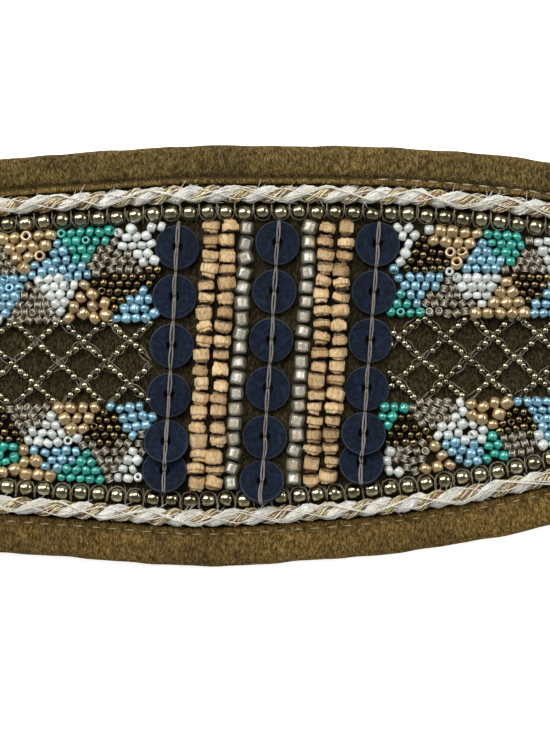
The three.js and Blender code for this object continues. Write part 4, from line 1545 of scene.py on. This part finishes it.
class BELT_OT_make_wood_strings(bpy.types.Operator):
    """Makes the four strings of hand-cut wooden beads"""

    bl_idname = "belt.make_wood_strings"
    bl_label = "Wooden beads"

    def execute(self, context):
        wood = wood_finish(colours().wood)
        end_grain = end_grain_finish(colours().wood)
        points, faces = self.model_bead()
        rng = np.random.default_rng(17)
        for i, offset in enumerate(WOOD_OFFSETS):
            top, bottom = column_line(offset)
            down = bottom - top
            run = np.linalg.norm(down)
            down /= run
            cuts = [WOOD_CUTS[(k + 5 * i) % len(WOOD_CUTS)] for k in range(WOOD_COUNT)]
            room = run - WOOD_GAP * WOOD_COUNT
            start = WOOD_GAP / 2
            gathered = Gathered()
            for cut in cuts:
                depth = room * cut / sum(cuts)
                place = top + down * (start + depth / 2)
                start += depth + WOOD_GAP
                self.bead(gathered, points, faces, place, down, depth, rng)
            piece = gathered.write(f"wood_string_{i + 1}", [wood, end_grain])
            select_only(piece)
            bpy.ops.object.shade_smooth_by_angle(angle=math.radians(24))
            settle(piece, "wood_beads", f"wood_bead_string_{i + 1}")
        return {"FINISHED"}

    def model_bead(self):
        """One short cut length of turned wood, one across and one long, its hole along X"""
        select_only()
        bpy.ops.mesh.primitive_cylinder_add(
            vertices=18, radius=0.5, depth=1, end_fill_type="NGON"
        )
        bpy.ops.object.mode_set(mode="EDIT")
        pick("EDGE", lambda edge: abs(edge.verts[0].co.z - edge.verts[1].co.z) > 0.9)
        bpy.ops.mesh.subdivide(number_cuts=7)
        pick("FACE", lambda face: abs(face.normal.z) > 0.9)
        bpy.ops.mesh.inset(thickness=0.035, depth=0.0)
        bpy.ops.mesh.inset(thickness=0.3, depth=-0.01)
        bpy.ops.mesh.delete(type="FACE")
        pick("EDGE", lambda edge: edge.is_boundary)
        bpy.ops.mesh.bridge_edge_loops()
        bpy.ops.mesh.select_all(action="SELECT")
        bpy.ops.mesh.normals_make_consistent(inside=False)
        bpy.ops.object.mode_set(mode="OBJECT")
        bpy.context.object.rotation_euler = (0, math.pi / 2, 0)
        return take_shape()

    def bead(self, gathered, points, faces, place, down, depth, rng):
        """One bead, its sides carved unevenly and its ends chipped"""
        angle = np.arctan2(points[:, 2], points[:, 1])
        reach = np.hypot(points[:, 1], points[:, 2])
        along = points[:, 0] * 2
        rim = np.where(reach > 0.3, 1.0, 0.0)
        scale = 1.02 - 0.09 * np.abs(along) ** 6
        for lobe, amount in SIDE_WAVES:
            scale += amount * np.sin(lobe * angle + rng.uniform(0, TURN)) * rng.uniform(0.3, 1)
        for _ in range(rng.integers(5, 8)):
            facing = np.cos(angle - rng.uniform(0, TURN))
            scale = np.minimum(scale, rng.uniform(0.82, 0.94) / np.maximum(facing, 0.3))
        lip = rng.uniform(0.3, 0.75) * (1 if rng.uniform() < 0.7 else -1)
        beyond = (along - lip) * np.sign(lip)
        scale -= np.clip(beyond / 0.08, 0, 1) * rng.uniform(0.08, 0.26)
        crack = np.exp(-(((beyond - 0.05) / 0.13) ** 2))
        scale -= crack * rng.uniform(0.04, 0.14)
        chip = np.clip(np.sin(angle + rng.uniform(0, TURN)), 0, 1) ** 2
        scale -= 0.16 * np.abs(along) ** 4 * chip * rng.uniform(0.2, 1)
        shape = points.copy()
        shape[:, 1] *= 1 + rim * (scale - 1)
        shape[:, 2] *= 1 + rim * (scale - 1)
        jagged = np.zeros(len(points))
        for lobe, amount in END_WAVES:
            jagged += amount * np.sin(lobe * angle + rng.uniform(0, TURN)) * rng.uniform(0.3, 1)
        shape[:, 0] = shape[:, 0] * rng.uniform(0.84, 0.98)
        shape[:, 0] += rim * jagged * np.abs(along) ** 3 * np.sign(along) / depth
        heading = math.atan2(down[1], down[0]) + rng.normal(0, 0.11)
        turn = turn_matrix(heading, rng.normal(0, 0.12), rng.uniform(0, TURN))
        across = WOOD_DIAMETER * rng.uniform(0.94, 1.12)
        spot = (place[0] + rng.normal(0, 0.2), place[1] + rng.normal(0, 0.08),
                BEAD_BOTTOM + WOOD_DIAMETER / 2 + rng.normal(0, 0.12))
        shape = placed(shape, (depth, across, across), turn, spot)
        # Painted shade: the tone falls towards the bead's ends, where the beads meet, and in the
        # crack at the lip
        painted_end_shade = np.abs(along) ** 6 * rng.uniform(0.35, 0.95) + np.clip(jagged, 0, 1) * 0.3
        painted_end_shade += crack * rng.uniform(0.1, 0.6)
        tone = np.clip(rng.uniform(0.45, 1.0) - painted_end_shade * rim, 0, 1)
        groups, finishes = [], []
        for group in faces:
            ends = np.abs(points[group].mean(axis=1)[:, 0]) > 0.47
            groups += [group[~ends], group[ends]]
            finishes += [0, 1]
        gathered.add(shape, groups, finishes, tone)


# Silver-lined beads

class BELT_OT_make_silver_strings(bpy.types.Operator):
    """Makes the two strings of clear glass beads with a silver lining"""

    bl_idname = "belt.make_silver_strings"
    bl_label = "Silver-lined beads"

    def execute(self, context):
        glass = clear_glass_finish("bead_glass", colours().glass, 0.26)
        lining = lining_finish("silver_lining", colours().silver)
        round_bead = bead_shape(16, 10, 0.64, 0.86)
        cut_bead = cut_bead_shape(16, 0.66, 0.84, 0.15)
        core = lining_shape(0.7, 0.3)
        diameter = sizes().silver_diameter / MM
        count = sizes().silver_count
        rng = np.random.default_rng(29)
        for i, offset in enumerate((-SILVER_OFFSET, SILVER_OFFSET)):
            top, bottom = column_line(offset)
            down = bottom - top
            pitch = np.linalg.norm(down) / count
            heading = math.atan2(down[1], down[0])
            gathered = Gathered()
            for k in range(count):
                place = top + down * ((k + 0.5) / count)
                spot = (place[0] + rng.normal(0, 0.1), place[1] + rng.normal(0, 0.06),
                        BEAD_BOTTOM + diameter / 2)
                turn = turn_matrix(heading + rng.normal(0, 0.14), rng.normal(0, 0.16),
                                   rng.normal(0, 0.3))
                across = diameter * rng.uniform(0.92, 1.08)
                size = (pitch * 1.1 * rng.uniform(0.8, 1.0), across, across)
                shell = round_bead if rng.uniform() < 0.6 else cut_bead
                tone = rng.uniform()
                gathered.add(placed(shell[0], size, turn, spot), shell[1], 0, tone)
                gathered.add(placed(core[0], size, turn, spot), core[1], 1,
                             lining_painted_light(core[0], turn, rng.uniform(1.3, 2.4)))
            piece = gathered.write(f"silver_string_{i + 1}", [glass, lining])
            settle(piece, "silver_beads", f"silver_bead_string_{i + 1}")
        return {"FINISHED"}


def lining_shape(depth, half):
    """The squarish lining in a clear bead's hole, along X"""
    select_only()
    bpy.ops.mesh.primitive_cylinder_add(
        vertices=8, radius=0.2, depth=depth, end_fill_type="NGON",
        rotation=(0, math.pi / 2, 0),
    )
    bpy.ops.object.transform_apply(location=False, rotation=True, scale=False)
    bpy.ops.object.mode_set(mode="EDIT")
    pick("EDGE", lambda edge: abs(edge.verts[0].co.x - edge.verts[1].co.x) > depth / 2)
    bpy.ops.mesh.subdivide(number_cuts=3)
    bpy.ops.object.mode_set(mode="OBJECT")
    for vertex in bpy.context.object.data.vertices:
        wide = max(abs(vertex.co.y), abs(vertex.co.z))
        vertex.co.y *= half / wide
        vertex.co.z *= half / wide
    return take_shape()


def highlight_ring_shape(reach, thick, apart):
    """Two rings that stand for painted highlights where a clear bead's hole opens, along X"""
    rings, faces = [], []
    for end in (-1, 1):
        select_only()
        bpy.ops.mesh.primitive_torus_add(
            major_segments=10, minor_segments=3, major_radius=reach, minor_radius=thick,
            location=(end * apart, 0, 0), rotation=(0, math.pi / 2, 0),
        )
        points, groups = take_shape()
        faces += [group + len(points) * len(rings) for group in groups]
        rings.append(points)
    return np.concatenate(rings), faces


def lining_painted_light(points, turn, level):
    """Tone of a lining's points, as painted light: bright in the middle of its upper side, painted
    shade towards its sides and rims
    """
    aloft = (points @ turn.T)[:, 2] / np.abs(points[:, 1]).max()
    rim = np.abs(points[:, 0]) / np.abs(points[:, 0]).max()
    return np.clip(level * (aloft - 0.1) * (1 - rim**2), 0, 1)


# Seed bead mosaics

def patch_chart(side_name, end_name):
    """Each patch's colour, middle and point (1 down, -1 up), the same cycle carried on outwards"""
    end, side = ENDS[end_name], SIDES[side_name]
    patches = []
    for row, middles in enumerate(PATCHES[(side_name, end_name)]):
        for k, (name, x, y) in enumerate(middles):
            patches.append((name, x, y, (-1) ** (k + row)))
        outermost = abs(middles[-1][1])
        for k in range(1, 12):
            x = end * (outermost + PATCH_PITCH * k)
            outer = field_edge(side, x, MOSAIC_INSET)
            inner = net_edge(side, x, 0.4)
            share = PATCH_ROWS[row if side > 0 else 1 - row]
            y = float(outer * (1 - share) + inner * share)
            turn = k + 3 * row + (2 if side > 0 else 5)
            name = OUTER_CYCLE[turn % len(OUTER_CYCLE)]
            patches.append((name, x, y, (-1) ** (k + row + len(middles) - 1)))
    return patches


class Mosaic:
    """Beads of one quarter, laid close together and sorted into patches by place"""

    def __init__(self, side_name, end_name, discs, seed):
        self.side = SIDES[side_name]
        self.end = ENDS[end_name]
        self.rng = np.random.default_rng(seed)
        self.patches = patch_chart(side_name, end_name)
        self.centres = np.array([(x, y) for _, x, y, _ in self.patches])
        self.points_down = np.array([way for _, _, _, way in self.patches])
        self.discs = np.array([m[:2] for node, (m, _) in discs.items() if end_name in node])
        self.unit = sizes().seed_diameter / MM
        self.fill()

    def diameters(self, places):
        """Sorts the beads into patches, which narrow towards their points, and sizes them"""
        away = places[:, None] - self.centres[None]
        width = np.clip(1 + PATCH_TAPER * self.points_down * away[:, :, 1], 0.35, 1.9)
        self.which = np.argmin(np.hypot(away[:, :, 0] / width, away[:, :, 1] * 0.95), axis=1)
        return np.array([SEED_SHARES[self.patches[w][0]] for w in self.which]) * self.unit

    def keep_inside(self, places, radii):
        """Moves beads back between the bronze row, the net and the discs"""
        x = places[:, 0]
        outer = self.side * field_edge(self.side, x, MOSAIC_INSET) - radii * EDGE_TUCK
        inner = self.side * net_edge(self.side, x, 0.2) + radii * EDGE_TUCK
        y = self.side * places[:, 1]
        places[:, 1] = self.side * np.clip(y, np.minimum(inner, outer), outer)
        column = self.end * column_at(self.end * DISC_OFFSET, places[:, 1]) + COLUMN_CLEARANCE
        along = self.end * places[:, 0]
        field_end = BEADED_LENGTH / 2 - FIELD_END_CLEARANCE
        places[:, 0] = self.end * np.clip(along, column, field_end)
        for disc in self.discs:
            away = places - disc
            apart = np.linalg.norm(away, axis=1)
            least = DISC_DIAMETER / 2 + radii * DISC_TUCK
            near = apart < least
            push = away[near] / np.maximum(apart[near], 1e-6)[:, None]
            places[near] = disc + push * least[near][:, None]
        return places

    def relax(self, places, rounds):
        """Pushes beads that overlap apart, a little in each round"""
        for _ in range(rounds):
            radii = self.diameters(places) / 2
            away = places[:, None] - places[None]
            apart = np.linalg.norm(away, axis=2)
            np.fill_diagonal(apart, 99)
            least = (radii[:, None] + radii[None]) * 0.985
            close = np.clip(least - apart, 0, None)
            push = (away / np.maximum(apart, 1e-6)[:, :, None]) * close[:, :, None]
            places = places + 0.42 * push.sum(axis=1)
            places = self.keep_inside(places, radii)
        return places

    def drop_crowded(self, places):
        """The places without those that lie too close to an earlier one"""
        keep = []
        radii = self.diameters(places) / 2
        for i, place in enumerate(places):
            if keep:
                apart = np.linalg.norm(places[keep] - place, axis=1)
                if np.any(apart < (radii[keep] + radii[i]) * CROWDED):
                    continue
            keep.append(i)
        return places[keep]

    def fill(self):
        """Rows of beads first, then loose ones in what room is left, pushed apart in turns"""
        step = self.unit * 0.98
        x = np.arange(24, BEADED_LENGTH / 2 - 8, step)
        y = np.arange(6, 36, step * 0.87)
        grid = np.array([
            (self.end * (a + (k % 2) * step / 2), self.side * b) for k, b in enumerate(y) for a in x
        ])
        grid += self.rng.normal(0, 0.22, grid.shape)
        settled = self.keep_inside(grid.copy(), np.full(len(grid), self.unit / 2))
        grid = grid[np.linalg.norm(settled - grid, axis=1) < 0.5]
        places = self.relax(grid, 30)
        places = self.drop_crowded(places)
        for _ in range(4):
            low, high = places.min(axis=0), places.max(axis=0)
            tries = self.rng.uniform(low, high, (LOOSE_TRIES, 2))
            inside = self.keep_inside(tries.copy(), np.full(len(tries), self.unit / 2))
            tries = tries[np.linalg.norm(inside - tries, axis=1) < 0.01]
            places = self.drop_crowded(np.concatenate([places, tries]))
            places = self.relax(places, 25)
            places = self.drop_crowded(places)
        self.places = places
        self.sizes = self.diameters(places)


class BELT_OT_make_mosaics(bpy.types.Operator):
    """Makes the four seed bead mosaics, in patches of one colour each"""

    bl_idname = "belt.make_mosaics"
    bl_label = "Mosaics"

    def execute(self, context):
        tints = colours()
        finishes = {
            "white": seed_finish("seed_white", tints.white, 0.22),
            "teal": seed_finish("seed_teal", tints.teal, 0.2),
            "blue": seed_finish("seed_blue", tints.blue, 0.26, 0.4),
            "tan": seed_finish("seed_tan", tints.tan, 0.26, 0.5),
            "bronze": bronze_finish("seed_bronze", tints.dark_bronze),
            "crystal": clear_glass_finish("seed_crystal", tints.seed_glass, 0.24),
            "lining": lining_finish("seed_lining", tints.seed_lining),
        }
        order = list(finishes)
        shapes = (
            bead_shape(11, 7, 0.3, 0.74), bead_shape(11, 8, 0.36, 0.9),
            cut_bead_shape(10, 0.34, 0.84, 0.22), bead_shape(9, 6, 0.46, 0.86),
        )
        core = lining_shape(0.6, 0.14)
        rim = highlight_ring_shape(0.33, 0.075, 0.29)
        discs = disc_places()
        seed = 41
        for side_name in SIDES:
            for end_name in ENDS:
                seed += 1
                mosaic = Mosaic(side_name, end_name, discs, seed)
                gathered = Gathered()
                headings = mosaic.rng.uniform(0, math.pi, len(mosaic.patches))
                for place, size, which in zip(mosaic.places, mosaic.sizes, mosaic.which):
                    name = mosaic.patches[which][0]
                    self.bead(gathered, mosaic.rng, shapes, core, rim, order, name, place,
                              size, headings[which])
                piece = gathered.write(
                    f"mosaic_{side_name}_{end_name}", [finishes[n] for n in order]
                )
                settle(piece, "seed_beads", f"seed_mosaic_{side_name}_{end_name}")
        return {"FINISHED"}

    def bead(self, gathered, rng, shapes, core, rim, order, name, place, size, heading):
        """One seed bead, mostly on its side along its patch's thread"""
        size = size * rng.uniform(0.97, 1.09)
        shape = shapes[3 if name == "crystal" else rng.choice(3, p=SEED_FORMS)]
        upright = rng.uniform() < UPRIGHT_SEEDS
        lift = rng.uniform(0.7, 1.5) if upright else rng.normal(0, 0.22)
        turn = turn_matrix(heading + rng.normal(0, 0.6), lift, rng.uniform(0, TURN))
        spot = (*place, BEAD_BOTTOM + size / 2 + rng.uniform(-0.1, 0.15))
        tone = rng.uniform()
        gathered.add(placed(shape[0], size, turn, spot), shape[1], order.index(name), tone)
        if name == "crystal":
            gathered.add(placed(core[0], size, turn, spot), core[1], order.index("lining"),
                         lining_painted_light(core[0], turn, rng.uniform(0.9, 2.2)))
            # Painted highlights: the rings, brighter where they face up
            gathered.add(placed(rim[0], size, turn, spot), rim[1], order.index("lining"),
                         rng.uniform(0.6, 1.9) * (0.6 + (rim[0] @ turn.T)[:, 2]))


# Bead nets

class BELT_OT_make_nets(bpy.types.Operator):
    """Makes the two nets of small bronze beads in crossing strings"""

    bl_idname = "belt.make_nets"
    bl_label = "Nets"

    def execute(self, context):
        bronze = bronze_finish("net_bronze", colours().bronze)
        fine = thread_finish("net_thread", shade(colours().fine_thread, 0.85), 0.5, 0.5)
        self.shape = bead_shape(10, 6, 0.26, 0.8)
        self.rng = np.random.default_rng(61)
        for end_name, end in ENDS.items():
            beads, threads = Gathered(), Gathered()
            crossings = [
                FIRST_CROSSING[end_name] + end * DIAMOND_LENGTH * i for i in range(-1, 11)
            ]
            for middle in crossings:
                self.string(beads, threads, middle, end, -1)
                self.string(beads, threads, middle, end, 1)
            for middle in crossings:
                self.knots(threads, middle, end)
            piece = beads.write(f"net_{end_name}", [bronze])
            settle(piece, "bronze_beads", f"bead_net_{end_name}")
            settle(threads.write(f"net_thread_{end_name}", [fine]), "bronze_beads")
        return {"FINISHED"}

    def inside(self, x, y, end):
        """Whether a place is in the net, past the discs and between the mosaics"""
        past = end * (x - column_at(end * DISC_OFFSET, y)) > DISC_DIAMETER / 2 - 0.6
        low, high = net_edge(-1, x), net_edge(1, x)
        return past and low - 0.3 < y < high + 0.3 and abs(x) < NET_END - 2

    def string(self, beads, threads, middle, end, way):
        """One string: way -1 falls to the right and is beaded all along, way 1 rises"""
        lean = math.atan2(DIAMOND_HEIGHT, DIAMOND_LENGTH)
        dx, dy = math.cos(lean), way * math.sin(lean)
        half = (NET_HALF_HEIGHT + 1) / math.sin(lean)
        pitch = sizes().net_bead_pitch / MM * (0.8 if way < 0 else 1.0)
        side_length = math.hypot(DIAMOND_LENGTH, DIAMOND_HEIGHT) / 2
        diameter = sizes().net_bead_diameter / MM
        centre_y = NET_MIDDLE + NET_LEAN * middle
        rng = self.rng
        kept = []
        for along in np.arange(-half, half, NET_STEP):
            x = middle + along * dx
            y = centre_y + along * dy
            if self.inside(x, y, end):
                kept.append((x, y))
        if len(kept) < 4:
            return
        kept = np.array(kept)
        self.run_threads(threads, kept, way)
        for along in np.arange(-half, half, pitch):
            x = middle + along * dx
            y = centre_y + along * dy
            if not self.inside(x, y, end):
                continue
            share = (along / side_length) % 1.0
            if way > 0 and (share < 0.22 or share > 0.84):
                continue
            if way < 0 and rng.uniform() < 0.04:
                continue
            size = diameter * rng.uniform(0.86, 1.06)
            spot = (x + rng.normal(0, 0.12), y + rng.normal(0, 0.12),
                    BEAD_BOTTOM + size / 2 + rng.uniform(-0.05, 0.2))
            turn = turn_matrix(math.atan2(dy, dx) + rng.normal(0, 0.4), rng.normal(0, 0.3),
                               rng.uniform(0, TURN))
            beads.add(placed(self.shape[0], size, turn, spot), self.shape[1], tone=rng.uniform())

    def run_threads(self, threads, kept, way):
        """Three loose threads beside and through a string"""
        rng = self.rng
        direction = (kept[-1] - kept[0]) / np.linalg.norm(kept[-1] - kept[0])
        normal = np.array([-direction[1], direction[0]])
        run = np.arange(len(kept)) * NET_STEP
        for lean in (-1, 0.3, 1):
            seed = int(rng.integers(1 << 30))
            apart = lean * rng.uniform(0.25, 0.75)
            apart += waver(run, seed, (7, 4.1, 2.6), (0.25, 0.14, 0.08))
            flat = kept + normal * apart[:, None]
            height = BEAD_BOTTOM + 0.5 + waver(run, seed + 1, (5, 9), (0.25, 0.25))
            height += 0.35 if way < 0 else 0
            line = np.column_stack([flat, height])
            threads.add(*thread(line, sizes().fine_thread / MM / 2, 4))

    def knots(self, threads, middle, end):
        """Small loops of thread where the strings cross"""
        rng = self.rng
        for row in (-1.5, -1, -0.5, 0, 0.5, 1, 1.5):
            shift = DIAMOND_LENGTH / 2 * (row * 2 % 2)
            x = middle + shift
            y = NET_MIDDLE + NET_LEAN * x + row * DIAMOND_HEIGHT
            if not self.inside(x, y, end):
                continue
            turns = np.linspace(0, TURN * 1.6, 16) + rng.uniform(0, TURN)
            wide, slim = rng.uniform(0.7, 1.1), rng.uniform(0.3, 0.6)
            heading = rng.uniform(0.5, 1.3) * (-1 if rng.uniform() < 0.5 else 1)
            a, b = wide * np.cos(turns), slim * np.sin(turns)
            line = np.column_stack([
                x + a * math.cos(heading) - b * math.sin(heading),
                y + a * math.sin(heading) + b * math.cos(heading),
                BEAD_BOTTOM + 0.9 + 0.3 * np.sin(turns * 0.5),
            ])
            threads.add(*thread(line, sizes().fine_thread / MM / 2, 4))


# Clasp

class BELT_OT_make_clasp(bpy.types.Operator):
    """Makes the plain brass clamp with its hook"""

    bl_idname = "belt.make_clasp"
    bl_label = "Clasp"

    def execute(self, context):
        brass = brass_finish(colours().brass)
        low, high = 0.2, 4.8
        wall = 1.0
        clamp_width, hook_width = 36, 15
        back = CLASP_BACK
        jaw = back + 11
        clamp = self.plate([
            (back, low), (jaw, low), (jaw, low + wall), (back + wall, low + wall),
            (back + wall, high - wall), (jaw, high - wall), (jaw, high), (back, high),
        ], clamp_width)
        bend = (high - low) / 2
        end = -BELT_LENGTH / 2
        middle = (high + low) / 2
        turns = np.linspace(math.pi / 2, -math.pi / 2, 13)
        outer = [(end + bend - bend * math.cos(t), middle + bend * math.sin(t)) for t in turns]
        inner = [
            (end + bend - (bend - wall) * math.cos(t), middle + (bend - wall) * math.sin(t))
            for t in turns[::-1]
        ]
        lip = end + 9
        hook = self.plate(
            [(back + wall / 2, high)] + outer + [(lip, low), (lip, low + wall)] + inner
            + [(back + wall / 2, high - wall)], hook_width,
        )
        select_only(clamp)
        hook.select_set(True)
        bpy.ops.object.join()
        clasp = context.object
        clasp.name = "hook_clasp"
        clasp.data.materials.clear()
        clasp.data.materials.append(brass)
        bpy.ops.object.shade_smooth_by_angle(angle=math.radians(35))
        settle(clasp, "clasp_metal", "end_clasp")
        return {"FINISHED"}

    def plate(self, profile, width):
        """A strip bent to a profile of (x, z), with softened edges"""
        mesh = bpy.data.meshes.new("plate")
        points = [(x * MM, -width / 2 * MM, z * MM) for x, z in profile]
        mesh.from_pydata(points, [], [tuple(range(len(points)))])
        plate = bpy.data.objects.new("plate", mesh)
        bpy.context.scene.collection.objects.link(plate)
        select_only(plate)
        bpy.ops.object.mode_set(mode="EDIT")
        bpy.ops.mesh.select_all(action="SELECT")
        bpy.ops.mesh.extrude_region_move(TRANSFORM_OT_translate={"value": (0, width * MM, 0)})
        bpy.ops.mesh.select_all(action="SELECT")
        bpy.ops.mesh.normals_make_consistent(inside=False)
        bpy.ops.object.mode_set(mode="OBJECT")
        bevel = plate.modifiers.new("softened", "BEVEL")
        bevel.width = 0.0002
        bevel.segments = 2
        bevel.limit_method = "ANGLE"
        bevel.angle_limit = math.radians(40)
        bpy.ops.object.modifier_apply(modifier=bevel.name)
        return plate


class BELT_PT_panel(bpy.types.Panel):
    """Lists the belt's pieces in the 3D view's sidebar"""

    bl_idname = "BELT_PT_panel"
    bl_label = "Beaded belt"
    bl_space_type = "VIEW_3D"
    bl_region_type = "UI"
    bl_category = "Belt"

    def draw(self, context):
        for operator in STEPS:
            self.layout.operator(operator.bl_idname)


STEPS = (
    BELT_OT_make_stage,
    BELT_OT_make_suede,
    BELT_OT_make_edging,
    BELT_OT_make_topstitch,
    BELT_OT_make_trim_cords,
    BELT_OT_make_couching,
    BELT_OT_make_bronze_rows,
    BELT_OT_make_discs,
    BELT_OT_make_chains,
    BELT_OT_make_wood_strings,
    BELT_OT_make_silver_strings,
    BELT_OT_make_mosaics,
    BELT_OT_make_nets,
    BELT_OT_make_clasp,
)
CLASSES = (BeltSizes, BeltColours, *STEPS, BELT_PT_panel)


def register():
    for kind in CLASSES:
        bpy.utils.register_class(kind)
    bpy.types.Scene.belt_sizes = PointerProperty(type=BeltSizes)
    bpy.types.Scene.belt_colours = PointerProperty(type=BeltColours)


def unregister():
    del bpy.types.Scene.belt_colours
    del bpy.types.Scene.belt_sizes
    for kind in reversed(CLASSES):
        bpy.utils.unregister_class(kind)


def main():
    register()
    for step in STEPS:
        group, name = step.bl_idname.split(".")
        getattr(getattr(bpy.ops, group), name)()


if __name__ == "__main__":
    main()
